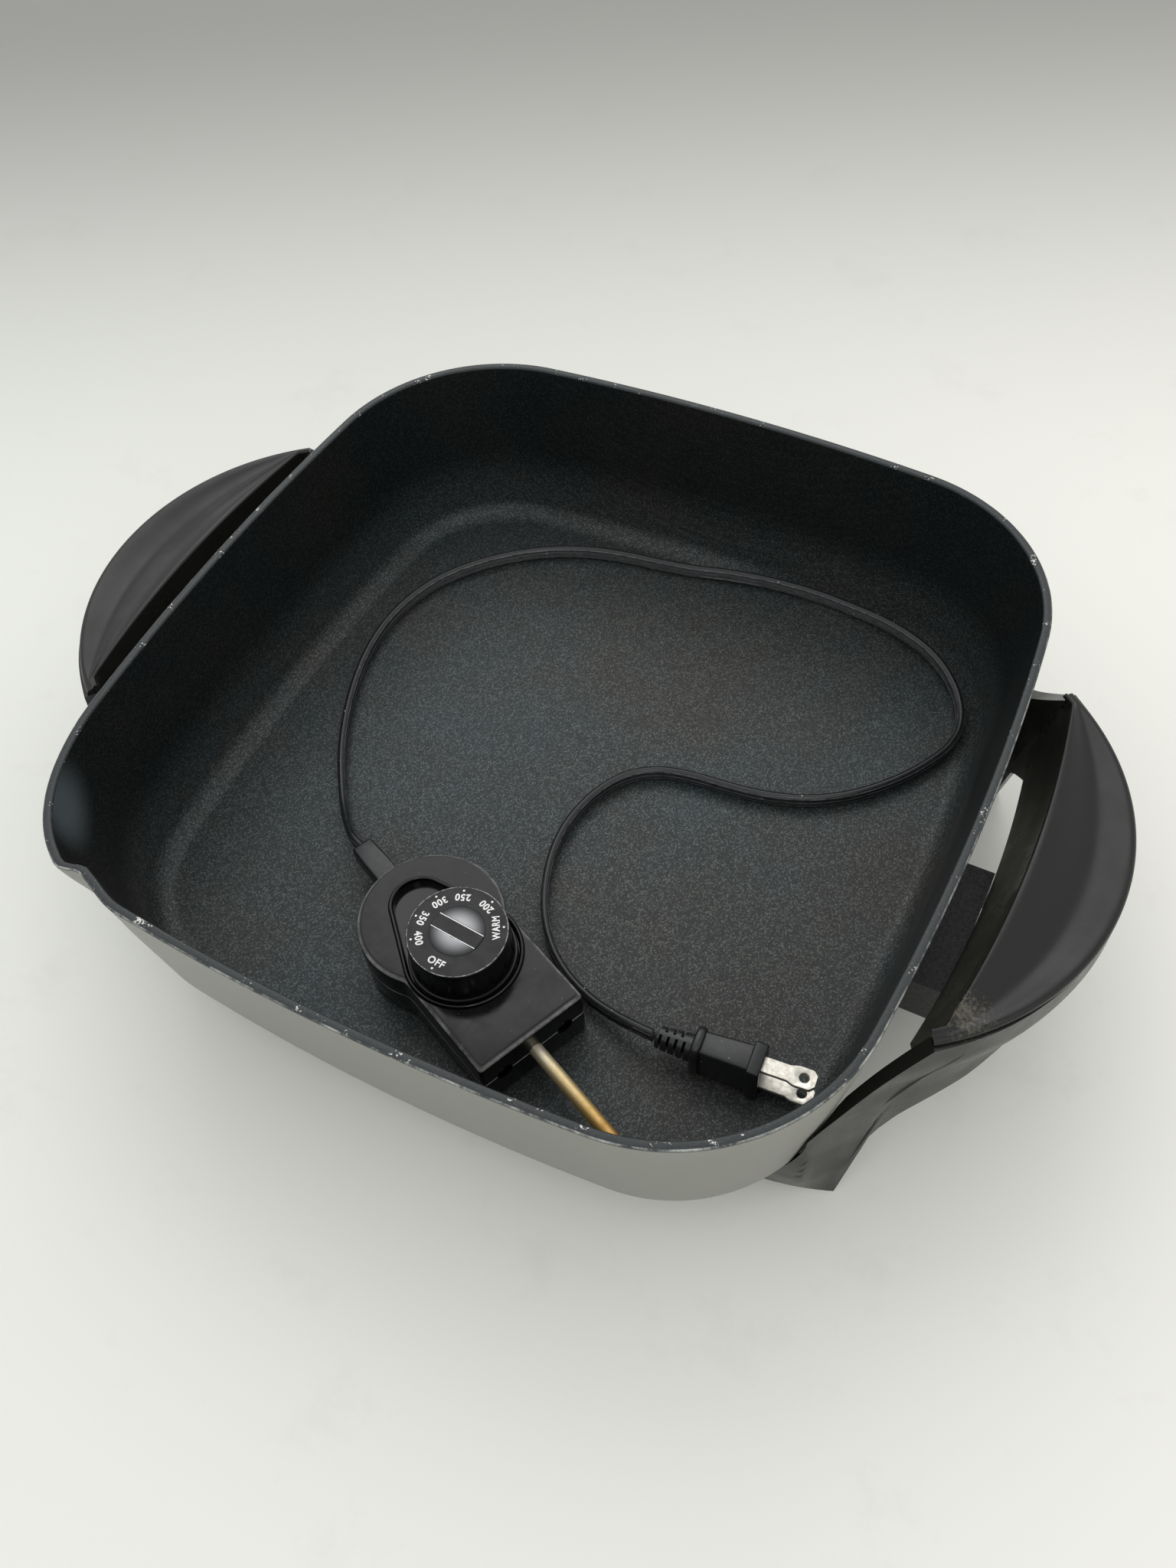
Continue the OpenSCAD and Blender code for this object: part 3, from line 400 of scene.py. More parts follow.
# %% Bare die-cast aluminium
cast_metal, tree, shader, place = new_material("bare_cast_aluminium")
grain = add(tree, "ShaderNodeTexNoise", {
    "Vector": place, "Scale": per_mm(0.9), "Detail": 4.0, "Roughness": 0.7})
stain = add(tree, "ShaderNodeTexNoise", {
    "Vector": place, "Scale": per_mm(38), "Detail": 4.0})
stain_tone = add(tree, "ShaderNodeMapRange", {
    "Value": stain, "From Min": 0.35, "From Max": 0.65})
cast_colour = add(tree, "ShaderNodeMix", {
    0: stain_tone, 6: hex_colour("9a9a97"), 7: hex_colour("bdbdb9")}, out=2,
    data_type="RGBA")
cast_bump = add(tree, "ShaderNodeBump", {
    "Height": grain, "Distance": 0.06 * MM, "Strength": 0.8}, out="Normal")
wire(tree, shader, Base_Color=cast_colour, Metallic=0.9, Roughness=0.48,
     Normal=cast_bump)

# %% [markdown]
# ## The pan
#
# From above, the pan is a square with slowly bowed sides and round corners.
# One function gives that outline, moved in by any distance. Stacking it at
# the insets and heights of the wall's section gives the whole casting, and
# the pouring lip is a small push added at one corner, which fades downwards.

# %% The pan's outline
RIM_Z, UNDER_Z, FLOOR_Z = 105, 27, 32.5
HALF, BOW_R, CORNER_R = 150, 930, 70
WALL_T, LEAN = 3.2, 8
INNER_FILLET, OUTER_FILLET = 9, 12
LIP_OUT, LIP_H = 3.6, 34
BOW_C = BOW_R - HALF
CORNER_K = BOW_R - CORNER_R
CORNER_C = (math.sqrt(2 * CORNER_K ** 2 - BOW_C ** 2) - BOW_C) / 2
SIDE_A = math.degrees(math.asin(CORNER_C / CORNER_K))


def lip_push(angle):
    """How far the lip pushes the wall out, round its own corner."""
    return (LIP_OUT * ramp(angle, 12, 54)
            - (LIP_OUT + 1.7) * ramp(angle, 60, 67)
            + 1.7 * ramp(angle, 70, 84))


def outline(inset, z, side_steps=26, corner_steps=44):
    """The pan's outline at height z, moved in by inset."""
    points = []
    for quarter in range(4):
        turn = quarter * 90
        row = arc(0, BOW_C, BOW_R - inset, 270 - SIDE_A, 270 + SIDE_A,
                  side_steps)
        for i in range(1, corner_steps):
            angle = mix(270 + SIDE_A, 360 - SIDE_A, i / corner_steps)
            r = CORNER_R - inset
            if quarter == 3:
                r += lip_push(angle - 270) * ramp(z, RIM_Z - LIP_H, RIM_Z)
            row.append((CORNER_C + r * cosd(angle),
                        -CORNER_C + r * sind(angle)))
        points += [(x * cosd(turn) - y * sind(turn),
                    x * sind(turn) + y * cosd(turn), z) for x, y in row]
    return points


print("corner centre", round(CORNER_C, 2), "side half angle", round(SIDE_A, 2))

# %% [markdown]
# The wall's section starts under the floor, goes round the outer fillet and
# up the leaning wall, over the rim's small rounding, down inside and round
# the fillet to the cooking floor. The floor and the underside are closed by
# rings that shrink to a point in the middle. One mesh gives one even skin,
# and the slot of each row decides where paint ends and coating begins.


# %% The pan's shell
def wall_in(z):
    """How far the leaning wall's outer face stands in at this height."""
    return (RIM_Z - z) * math.tan(math.radians(LEAN))


def fillet_c(z0, r, t):
    """Centre of a fillet between the level z0 and the wall, t inside it."""
    return wall_in(z0 + r) + t + r / cosd(LEAN), z0 + r


under_c = fillet_c(UNDER_Z, OUTER_FILLET, 0)
floor_c = fillet_c(FLOOR_Z, INNER_FILLET, WALL_T)
levels = [RIM_Z - LIP_H * (1 - i / 12) for i in range(12)]
RIM_EDGE = 0.9
section = arc(*under_c, OUTER_FILLET, 270, 180 + LEAN, 10)
section += [(wall_in(z), z) for z in levels]
paint_rows = len(section)
section += arc(wall_in(RIM_Z - RIM_EDGE) + RIM_EDGE, RIM_Z - RIM_EDGE,
               RIM_EDGE, 180 + LEAN, 90, 4)
section += arc(WALL_T + 0.1 - RIM_EDGE, RIM_Z - RIM_EDGE, RIM_EDGE, 90, 0, 4)
rim_rows = len(section)
section += [(wall_in(z) + WALL_T, z) for z in reversed(levels)]
section += arc(*floor_c, INNER_FILLET, 180 + LEAN, 270, 12)
shell_rows = [outline(inset, z) for inset, z in section]
in_rings = [[(x * s, y * s, FLOOR_Z) for x, y, z in shell_rows[-1]]
            for s in (0.75, 0.5, 0.25, 0)]
out_rings = [[(x * s, y * s, UNDER_Z) for x, y, z in shell_rows[0]]
             for s in (0, 0.25, 0.5, 0.75)]
pan_rows = out_rings + shell_rows + in_rings
pan_points, pan_faces = skin(pan_rows, ring=True)
ring_size = len(pan_rows[0])
first_rim = len(out_rings) + paint_rows
edges = [len(out_rings), first_rim, first_rim + 1, first_rim + 3,
         len(out_rings) + rim_rows - 1]
pan_slots = [(3, 0, 1, 4, 1, 2)[sum(n // ring_size >= e for e in edges)]
             for n in range(len(pan_faces))]
print("pan rows", len(pan_rows), "of", ring_size)

# %% [markdown]
# Under the floor, a U-shaped rib holds the heating element all the way
# round. It follows the element's bent path, so it is a sweep: a small
# Geometry Nodes tree runs the rib's section along that path. The same tree
# is used later for the flat cord. The section lies in a curve of its own,
# which is dropped when the sweep has become a mesh.

# %% A sweep as a node tree
sweep_tree = bpy.data.node_groups.new("sweep", "GeometryNodeTree")
face = sweep_tree.interface
sockets = {}
for label, way, kind in (("Path", "INPUT", "NodeSocketGeometry"),
                         ("Section", "INPUT", "NodeSocketObject"),
                         ("Section scale", "INPUT", "NodeSocketFloat"),
                         ("Finish", "INPUT", "NodeSocketMaterial"),
                         ("Swept", "OUTPUT", "NodeSocketGeometry")):
    sockets[label] = face.new_socket(label, in_out=way, socket_type=kind)
inside = add(sweep_tree, "NodeGroupInput", out=None)
line = add(sweep_tree, "GeometryNodeMeshToCurve",
           {"Mesh": inside.outputs["Path"]})
upright = add(sweep_tree, "GeometryNodeSetCurveNormal", {"Curve": line},
              mode="Z_UP")
drawn = add(sweep_tree, "GeometryNodeObjectInfo",
            {"Object": inside.outputs["Section"]}, out="Geometry",
            transform_space="ORIGINAL")
swept = add(sweep_tree, "GeometryNodeCurveToMesh", {
    "Curve": upright, "Profile Curve": drawn, "Fill Caps": True,
    "Scale": inside.outputs["Section scale"]})
real = add(sweep_tree, "GeometryNodeRealizeInstances", {"Geometry": swept})
coated = add(sweep_tree, "GeometryNodeSetMaterial", {
    "Geometry": real, "Material": inside.outputs["Finish"]})
add(sweep_tree, "NodeGroupOutput", {"Swept": coated}, out=None)


def sweep(name, path, section, material, smooth_angle=40):
    """A piece made by running a closed section along a path, both in mm."""
    curve = bpy.data.curves.new(name + "_section", "CURVE")
    spline = curve.splines.new("POLY")
    spline.points.add(len(section) - 1)
    spline.use_cyclic_u = True
    for point, (u, v) in zip(spline.points, section):
        point.co = (u * MM, -v * MM, 0, 1)
    holder = bpy.data.objects.new(name + "_section", curve)
    mesh = bpy.data.meshes.new(name)
    mesh.from_pydata([Vector(p) * MM for p in path],
                     [(i, i + 1) for i in range(len(path) - 1)], [])
    thing = bpy.data.objects.new(name, mesh)
    for each in (holder, thing):
        bpy.context.scene.collection.objects.link(each)
    modifier = thing.modifiers.new("sweep", "NODES")
    modifier.node_group = sweep_tree
    modifier[sockets["Section"].identifier] = holder
    modifier[sockets["Section scale"].identifier] = 1.0
    modifier[sockets["Finish"].identifier] = material
    applied(thing)
    bpy.data.objects.remove(holder)
    bm = bmesh.new()
    bm.from_mesh(thing.data)
    bmesh.ops.recalc_face_normals(bm, faces=bm.faces)
    bm.to_mesh(thing.data)
    bm.free()
    mark_sharp(thing.data, smooth_angle)
    return thing


print("sweep tree", len(sweep_tree.nodes), "nodes")

# %% [markdown]
# On the real pan the ribs, the round bosses for the screws and the thick rib
# with the probe's bore are one pour of metal with the floor. Here the
# element's rib comes from the sweep, and the bosses are shells in the pan's
# own mesh. Each is sunk into the floor above it, so that no gap shows.

# %% Ribs, bosses and the pan
BOSS_AT, GUARD_BOSS_AT = (107.98, 87.98), (119, 25)
PROBE_R, ELEMENT_Z = 2.65, 26
half_path = [(126, 12.7), (116, 12.7)]
half_path += arc(116, 28.7, 16, 270, 180, 8)[1:] + [(100, 68)]
half_path += arc(78, 68, 22, 0, 90, 10)[1:] + [(-68, 90)]
half_path += arc(-68, 68, 22, 90, 180, 10)[1:]
loop_path = half_path + [(x, -y) for x, y in reversed(half_path)]
rib_section = [(-6.05, 2.2), (-6.05, -3.1), (-5.5, -3.7), (-3.9, -3.7),
               (-3.45, -3.3), *arc(0, 0, 3.45, 180, 0, 12), (3.45, -3.3),
               (3.9, -3.7), (5.5, -3.7), (6.05, -3.1), (6.05, 2.2)]
ribs = sweep("element_ribs", [(x, y, ELEMENT_Z) for x, y in loop_path],
             rib_section, cast_metal)


def turned(profile, at, steps=32):
    """Rows of a shape turned about the vertical through at, from (r, z)."""
    return [[(at[0] + r * cosd(a), at[1] + r * sind(a), z)
             for a in (360 * i / steps for i in range(steps))]
            for r, z in profile]


bosses = []
for x, y, r in ((*BOSS_AT, 6.5), (*GUARD_BOSS_AT, 4.2)):
    for sx, sy in ((1, 1), (1, -1), (-1, 1), (-1, -1)):
        if sx > 0 or r > 5:
            bosses.append(skin(turned(
                [(0, 24), (2.5, 24), (2.5, 22), (r - 0.6, 22), (r, 22.6),
                 (r, 27.6), (0, 27.6)],
                (x * sx, y * sy)), ring=True))
socket_rib = skin([[(x, u, ELEMENT_Z + v) for u, v in circle(r, 12)]
                   for x, r in ((82, 0), (82, PROBE_R), (141, PROBE_R),
                                (141, 5.3), (140.4, 5.8), (78, 5.8),
                                (77, 4.8), (77, 0))], ring=True)
pan = piece("pan_casting", [(pan_points, pan_faces, pan_slots)]
            + [(*boss, 3) for boss in bosses] + [(*socket_rib, 3)],
            [baked_paint, worn_rim, sprayed_coating, cast_metal, rubbed_edge],
            smooth_angle=30)
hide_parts("pan")
for thing in (pan, ribs):
    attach(thing, "skillet")


# %% [markdown]
# ## The handles
#
# Each handle is one phenolic moulding. A wall follows part of a circle and
# runs down into two legs, with an arch between them. The wall is a grid: its
# columns keep their share of the way to the rear edge, and they start where
# the arch lets them. Its edges are rounded by a bevel, as the mould's are.

# %% Moulded phenolic
phenolic, tree, shader, place = new_material("moulded_black_phenolic")
swirl = add(tree, "ShaderNodeTexNoise", {
    "Vector": place, "Scale": per_mm(26), "Detail": 5.0, "Roughness": 0.6})
polish = add(tree, "ShaderNodeMapRange", {
    "Value": swirl, "From Min": 0.4, "From Max": 0.66, "To Min": 0.38,
    "To Max": 0.22})
fine = add(tree, "ShaderNodeTexNoise", {
    "Vector": place, "Scale": per_mm(0.7), "Detail": 3.0, "Roughness": 0.7})
stretch = add(tree, "ShaderNodeMapping", {
    "Vector": place, "Scale": (1.0, 9.0, 1.0), "Rotation": (0, 0, 0.5)})
scratch = add(tree, "ShaderNodeTexNoise", {
    "Vector": stretch, "Scale": per_mm(9), "Detail": 6.0, "Roughness": 0.8})
scratch_mask = add(tree, "ShaderNodeMapRange", {
    "Value": scratch, "From Min": 0.66, "From Max": 0.72})
phenolic_colour = add(tree, "ShaderNodeMix", {
    0: scratch_mask, 6: hex_colour("0d0d0a"), 7: hex_colour("2e2c25")},
    out=2, data_type="RGBA")
phenolic_bump = add(tree, "ShaderNodeBump", {
    "Height": fine, "Distance": 0.03 * MM, "Strength": 0.7}, out="Normal")
from_tip = add(tree, "ShaderNodeVectorMath", {
    0: place, 1: (0.165, -0.060, 0.095)}, out="Value", operation="DISTANCE")
near_tip = add(tree, "ShaderNodeMapRange", {
    "Value": from_tip, "From Min": 15 * MM, "From Max": 2 * MM})
rub_spots = add(tree, "ShaderNodeTexNoise", {
    "Vector": place, "Scale": per_mm(1.1), "Detail": 3.0, "Roughness": 0.7})
spotted = add(tree, "ShaderNodeMath", {
    0: near_tip, 1: 0.42, 2: rub_spots}, operation="MULTIPLY_ADD")
bared = add(tree, "ShaderNodeMapRange", {
    "Value": spotted, "From Min": 0.76, "From Max": 1.0, "To Max": 0.4})
phenolic_worn = add(tree, "ShaderNodeMix", {
    0: bared, 6: phenolic_colour, 7: hex_colour("807968")}, out=2,
    data_type="RGBA")
wire(tree, shader, Base_Color=phenolic_worn, Roughness=polish,
     Normal=phenolic_bump, IOR=1.45)

# %% [markdown]
# The wall's radius changes with height and direction. Up at the grip it is a
# circle. Lower down it is a smaller one in front, runs straight back along
# each leg, and flares out near the floor. The shapes are blended softly, so
# that no crease is left. `clear_of_pan` keeps the moulding 0.35 mm off the
# pan, a gap that any two parts screwed together have somewhere.

# %% Shape of a handle
GRIP_C, GRIP_R, GRIP_Z, SHELL_T = 107.4, 90, 94, 5
SKIRT_R, LEG_TURN, FOOT_R = 83.3, 36.7, 100.2
REAR_LOW, REAR_MID, LEG_Z, FOOT_FADE = 82.7, 74.8, 57, 40
WALL_TOP, WALL_BLEND, ARCH_END = 91.5, 5, 92.3
TIP_A = math.degrees(math.asin(73 / GRIP_R))
ARCH = [(0, 80), (14, 79.4), (25, 77.6), (33, 74), (40.5, 67.5), (48, 57),
        (56, 50), (66, 44.5), (75, 41), (82, 35), (87.4, 24), (90.6, 12),
        (ARCH_END, -1)]


def circle_r(z):
    """Radius of the round wall at this height, without the legs."""
    return mix(SKIRT_R, GRIP_R, ramp(z, LEG_Z - 3, GRIP_Z - 12))


def wall_r(a, z):
    """Radius of the wall's outer face in direction a, legs and feet too."""
    flat = SKIRT_R / cosd(max(0, min(abs(a), REAR_MID) - LEG_TURN))
    low = (1 - z / FOOT_FADE) ** 2 if z < FOOT_FADE else 0
    round_r = circle_r(z)
    soft = WALL_BLEND * ramp(abs(a), 15, 45)
    blended = (round_r + flat + math.hypot(round_r - flat, soft)) / 2
    return mix(blended, FOOT_R, low)


def rear_a(z):
    """Direction of the wall's rear edge at this height."""
    if z < LEG_Z:
        return mix(REAR_LOW, REAR_MID, ramp(z, 0, LEG_Z))
    return mix(REAR_MID, TIP_A, (z - LEG_Z) / (WALL_TOP - LEG_Z))


arch_y = np.linspace(0, ARCH_END, 80)
knot_y, knot_z = zip(*ARCH)
arch_z = np.interp(arch_y, knot_y, knot_z)
for _ in range(2):
    arch_z[1:-1] = (arch_z[:-2] + 2 * arch_z[1:-1] + arch_z[2:]) / 4


def arch_foot(share):
    """Lowest height of the wall's column at this share of the rear edge."""
    low, high = 0.0, 88.0
    for _ in range(24):
        z = (low + high) / 2
        a = share * rear_a(z)
        y = wall_r(a, z) * sind(a)
        if z < np.interp(y, arch_y, arch_z):
            low = z
        else:
            high = z
    return high if high > 0.01 else 0.0


def clear_of_pan(x, y, z, gap=0.35):
    """Moves a point of the right handle out of the pan's own space."""
    if z < UNDER_Z:
        return x, y, z
    inset = wall_in(z)
    if z < under_c[1]:
        inset = under_c[0] - math.sqrt(OUTER_FILLET ** 2
                                       - (under_c[1] - z) ** 2)
    side = math.degrees(math.atan2(y, x + BOW_C))
    cx, cy, r = -BOW_C, 0, BOW_R
    if abs(side) > SIDE_A:
        cx, cy, r = CORNER_C, math.copysign(CORNER_C, y), CORNER_R
    r += gap - inset
    away = math.hypot(x - cx, y - cy)
    if away >= r or away < 1:
        return x, y, z
    return cx + (x - cx) * r / away, cy + (y - cy) * r / away, z


shares = sorted({round(s, 5) for s in [
    *np.linspace(0, 0.98, 62), 0.99, 1.0]})
shares = [-s for s in reversed(shares[1:])] + shares


def wall_grid(depth, rows=26):
    """Rows of the wall at this depth under its outer face."""
    grid = []
    for t in (k / rows for k in range(rows + 1)):
        row = []
        for share in shares:
            z = mix(arch_foot(abs(share)), WALL_TOP, t)
            a = share * rear_a(z)
            r = wall_r(a, z) - depth
            row.append(clear_of_pan(GRIP_C + r * cosd(a), r * sind(a), z))
        grid.append(row)
    return grid


outer_face, inner_face = wall_grid(0), wall_grid(SHELL_T)
wall_loops = []
for outside, inside_row in zip(outer_face, inner_face):
    wall_loops.append(outside + inside_row[::-1])
wall_shell = skin(wall_loops, ring=True)
count = len(shares)
for level, turn in ((0, 1), (len(wall_loops) - 1, -1)):
    base = level * 2 * count
    for i in range(count - 1):
        quad = (base + i, base + i + 1, base + 2 * count - 2 - i,
                base + 2 * count - 1 - i)
        wall_shell[1].append(quad[::turn])
print("wall", len(wall_shell[1]), "faces")

# %% [markdown]
# The top of the grip is a dished crescent. Its section is the same all the
# way along: a rounded outer edge, the dish, a rounded inner edge and a
# curtain that leans in towards the pan. The curtain's back and the plate's
# underside close it. At the two ends the section shrinks with the crescent.

# %% Grip, curtain and lugs
INNER_BOW, CURTAIN_Z, CURTAIN_LEAN, DISH = 403, 67, 9, 3.4
INNER_X, LEAN_TOP, LEAN_H = 166.3, 92, 25
INNER_D = GRIP_C - (INNER_X - INNER_BOW)
LUG_LOW, LUG_TOP, LUG_R, MOULD_RADIUS = 16.45, 21.95, 7.5, 1.1


def face_r(a, lean):
    """Distance from the grip's centre to the curtain, in direction a."""
    return (math.sqrt((INNER_BOW - lean) ** 2 - (INNER_D * sind(a)) ** 2)
            - INNER_D * cosd(a))


def grip_section(a):
    """Section of the grip in direction a, as (radius, height)."""
    r1, r0 = 88.33, min(face_r(a, 0), 85.2)
    dip = DISH * (r1 - r0) / (r1 - face_r(0, 0))
    points = [(89.99, 86), (89.99, 92.4)]
    points += arc(r1, 92.4, 1.7, 18, 90, 4)
    for t in (i / 16 for i in range(1, 16)):
        points.append((mix(r1, r0 + 1.2, t), mix(94.1, 95.5, t)
                       - dip * (1 - cosd(360 * t ** 0.8)) / 2))
    points += [(r0 + 1.2, 95.5), (r0 + 0.6, 95.35), (r0 + 0.15, 94.9),
               (r0, 94.2)]
    for z in (91, 86, 80, 74, 69):
        lean = CURTAIN_LEAN * (LEAN_TOP - z) / LEAN_H
        points.append((min(face_r(a, lean), circle_r(z) - 2.5), z))
    bottom = min(face_r(a, CURTAIN_LEAN), circle_r(CURTAIN_Z) - 2.5)
    points += [(bottom + 0.6, 67.5), (bottom + 1.8, 67), (bottom + 3.2, 67),
               (bottom + 4.4, 67.6), (bottom + 5, 69)]
    for z in (76, 83, 88.4):
        lean = CURTAIN_LEAN * (LEAN_TOP - z) / LEAN_H
        points.append((min(face_r(a, lean) + SHELL_T,
                           circle_r(z) - 2.4), z))
    points.append((86, 88.4))
    return points


tip_steps = [mix(-TIP_A, TIP_A, i / 72) for i in range(73)]
grip_rows = []
for a in tip_steps:
    grip_rows.append([(GRIP_C + r * cosd(a), r * sind(a), z)
                      for r, z in grip_section(a)])
grip_shell = skin(grip_rows, ring=True, caps=True)
lugs = []
for s in (1, -1):
    flat = [(118, 80.48), (131, 80.48), (129, 95.48), (BOSS_AT[0], 95.48)]
    flat += arc(*BOSS_AT, LUG_R, 90, 270, 14)[1:]
    lugs.append(skin([[(x, y * s, z) for x, y in flat]
                      for z in (LUG_LOW, LUG_TOP)], ring=True, caps=True))
handles = []
for name, side in (("right_handle", 1), ("left_handle", -1)):
    shells = [([(x * side, y, z) for x, y, z in points], faces, 0)
              for points, faces in (wall_shell, grip_shell, *lugs)]
    thing = piece(name + "_moulding", shells, [phenolic], smooth_angle=40)
    soften(thing, MOULD_RADIUS, segments=3)
    applied(thing)
    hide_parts(name)
    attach(thing, "skillet")
    handles.append(thing)
print("handles", [len(h.data.polygons) for h in handles])

# %% [markdown]
# ## The heat control
#
# The housing is two shells of glossy black ABS with a seam at the height of
# the probe. In plan it is a block with a round back, and a small fillet
# joins the two. It lies turned on the cooking floor, so each point of it is
# worked out straight on the floor's axes and then laid in place.

# %% Glossy moulded housing plastic
gloss_black, tree, shader, place = new_material("glossy_moulded_abs")
smear = add(tree, "ShaderNodeTexNoise", {
    "Vector": place, "Scale": per_mm(9), "Detail": 5.0, "Roughness": 0.65})
smear_gloss = add(tree, "ShaderNodeMapRange", {
    "Value": smear, "From Min": 0.35, "From Max": 0.7, "To Min": 0.13,
    "To Max": 0.34})
sink = add(tree, "ShaderNodeTexNoise", {
    "Vector": place, "Scale": per_mm(14), "Detail": 1.0})
dust = add(tree, "ShaderNodeTexVoronoi", {
    "Vector": place, "Scale": per_mm(4.5)}, out="Distance")
dust_mask = add(tree, "ShaderNodeMapRange", {
    "Value": dust, "From Min": 0.05, "From Max": 0.025, "To Min": 0.0,
    "To Max": 0.5})
housing_colour = add(tree, "ShaderNodeMix", {
    0: dust_mask, 6: hex_colour("080808"), 7: hex_colour("8d8d88")}, out=2,
    data_type="RGBA")
# Painted highlight: faces tilted like the rounded edges get a pale grey in
# broken streaks, a thin bright line along the housing's edges.
facing = add(tree, "ShaderNodeNewGeometry", out="Normal")
tilt = add(tree, "ShaderNodeSeparateXYZ", {"Vector": facing}, out="Z")
from_middle = add(tree, "ShaderNodeMath", {0: tilt, 1: 0.66},
                  operation="SUBTRACT")
off_edge = add(tree, "ShaderNodeMath", {0: from_middle},
               operation="ABSOLUTE")
on_edge = add(tree, "ShaderNodeMapRange", {
    "Value": off_edge, "From Min": 0.32, "From Max": 0.12})
streak = add(tree, "ShaderNodeTexNoise", {
    "Vector": place, "Scale": per_mm(7), "Detail": 6.0, "Roughness": 0.75})
highlight_streak_mask = add(tree, "ShaderNodeMapRange", {
    "Value": streak, "From Min": 0.36, "From Max": 0.62, "To Min": 0.25,
    "To Max": 0.8})
edge_highlight_mask = add(tree, "ShaderNodeMath", {0: on_edge, 1: highlight_streak_mask},
                operation="MULTIPLY")
housing_painted_edge_highlight = add(tree, "ShaderNodeMix", {
    0: edge_highlight_mask, 6: housing_colour, 7: hex_colour("9b9b97")}, out=2,
    data_type="RGBA")
sink_bump = add(tree, "ShaderNodeBump", {
    "Height": sink, "Distance": 0.12 * MM, "Strength": 0.5}, out="Normal")
wire(tree, shader, Base_Color=housing_painted_edge_highlight, Roughness=smear_gloss,
     Normal=sink_bump, IOR=1.41)

# %% [markdown]
# The bead and the walls of the cut-outs are shinier than the rest of the
# housing, because those parts of the mould were polished finer. Their colour
# is also painted blacker, as shade in the cut-outs and along the bead.

# %% Polished black plastic
polished_black_shaded, tree, shader, place = new_material("polished_black_abs")
touch = add(tree, "ShaderNodeTexNoise", {
    "Vector": place, "Scale": per_mm(6), "Detail": 4.0})
touch_gloss = add(tree, "ShaderNodeMapRange", {
    "Value": touch, "From Min": 0.35, "From Max": 0.7, "To Min": 0.1,
    "To Max": 0.22})
# Colour 050505, blacker than the housing's 080808, is painted shade.
wire(tree, shader, Base_Color=hex_colour("050505"), Roughness=touch_gloss,
     IOR=1.45)

# %% [markdown]
# Each shell is a stack of the outline, moved in where an edge is rounded.
# Holes are then cut as cores leave them: the dial's drop-shaped well in the
# upper shell, four screw wells in the lower, and half of the two pin bores
# and of the cord's slot in both.

# %% Housing shells
CTL_AT, CTL_TURN = (41, -107.7, 32.7), -24
ROUND_X, ROUND_R, CTL_HW, SPLIT, NOSE_R = 58.5, 26.2, 21.5, 13.5, 1.6
DIAL_X, DROP_D, PIN_SIDE, PIN_BORE_R, WELL_R = 38.9, 26, 12.7, 3.15, 2.8
WELLS_AT = ((-27, 15.4), (-27, -15.4), (-70, 15), (-70, -15))


def laid(x, y, z):
    """A point of the heat control, laid on the cooking floor."""
    return (CTL_AT[0] + x * cosd(CTL_TURN) - y * sind(CTL_TURN),
            CTL_AT[1] + x * sind(CTL_TURN) + y * cosd(CTL_TURN),
            CTL_AT[2] + z)


def housing_outline(g, fillet=7):
    """The housing's outline moved in by g, anticlockwise from above."""
    r = ROUND_R - g
    fx = -ROUND_X + math.sqrt((ROUND_R + fillet) ** 2
                              - (CTL_HW + fillet) ** 2)
    fy = CTL_HW + fillet
    meet = math.degrees(math.atan2(fy, fx + ROUND_X))
    half = arc(-g - NOSE_R, CTL_HW - g - NOSE_R, NOSE_R, 0, 90, 6)
    half += [(mix(-g - NOSE_R, fx, i / 6), CTL_HW - g) for i in range(1, 6)]
    half += arc(fx, fy, fillet + g, 270, 180 + meet, 8)
    back = arc(-ROUND_X, 0, r, meet, 360 - meet, 72)[1:-1]
    return half + back + [(x, -y) for x, y in reversed(half)]


def housing(name, profile, cutters):
    """A closed block from (inset, height) pairs, with pieces cut out."""
    rows = [[laid(x, y, z) for x, y in housing_outline(g)]
            for g, z in profile]
    block = piece(name, [(*skin(rows, ring=True, caps=True), 0)],
                  [gloss_black, polished_black_shaded])
    for points, faces in cutters:
        carve(block, points, faces, polished_black_shaded)
    mark_sharp(block.data, 28)
    return block


def drop(r1, r2, steps=72):
    """Teardrop round the dial, with its small end towards the cord."""
    t = 90 + math.degrees(math.asin((r1 - r2) / DROP_D))
    return (arc(-DIAL_X, 0, r1, -t, t, steps)
            + arc(-DIAL_X - DROP_D, 0, r2, t, 360 - t, steps // 3)[1:-1])


def bore(x0, x1, y, z, r, steps=28):
    """A closed round plug along the control's own x, to cut a hole with."""
    turns = [360 * i / steps for i in range(steps)]
    rows = [[laid(x, y + r * cosd(a), z + r * sind(a)) for a in turns]
            for x in (x0, x1)]
    return skin(rows, ring=True, caps=True)


well = skin([[laid(x, y, z) for x, y in drop(20.4, 10.7)]
             for z in (22.8, 30)], ring=True, caps=True)
nose_bores = [bore(-7, 2, y, SPLIT, PIN_BORE_R)
              for y in (PIN_SIDE, -PIN_SIDE)]
relief_slot = skin([[laid(x, y, z) for x, y in
                     ((-95, -3.3), (-80, -3.3), (-80, 3.3), (-95, 3.3))]
                    for z in (7.9, 16.7)], ring=True, caps=True)
screw_wells = [skin([[laid(px + u, py + v, z) for u, v in circle(WELL_R, 15)]
                     for z in (-1, 3)], ring=True, caps=True)
               for px, py in WELLS_AT]
top_edge = [(2 - 2 * cosd(a), 23.1 + 2 * sind(a)) for a in range(0, 91, 15)]
foot_edge = [(2 - 2 * sind(a), 2 - 2 * cosd(a)) for a in range(0, 91, 15)]
housing_top = housing("control_top_shell",
                      [(0.35, SPLIT), (0, SPLIT + 0.35)] + top_edge,
                      [well, *nose_bores, relief_slot])
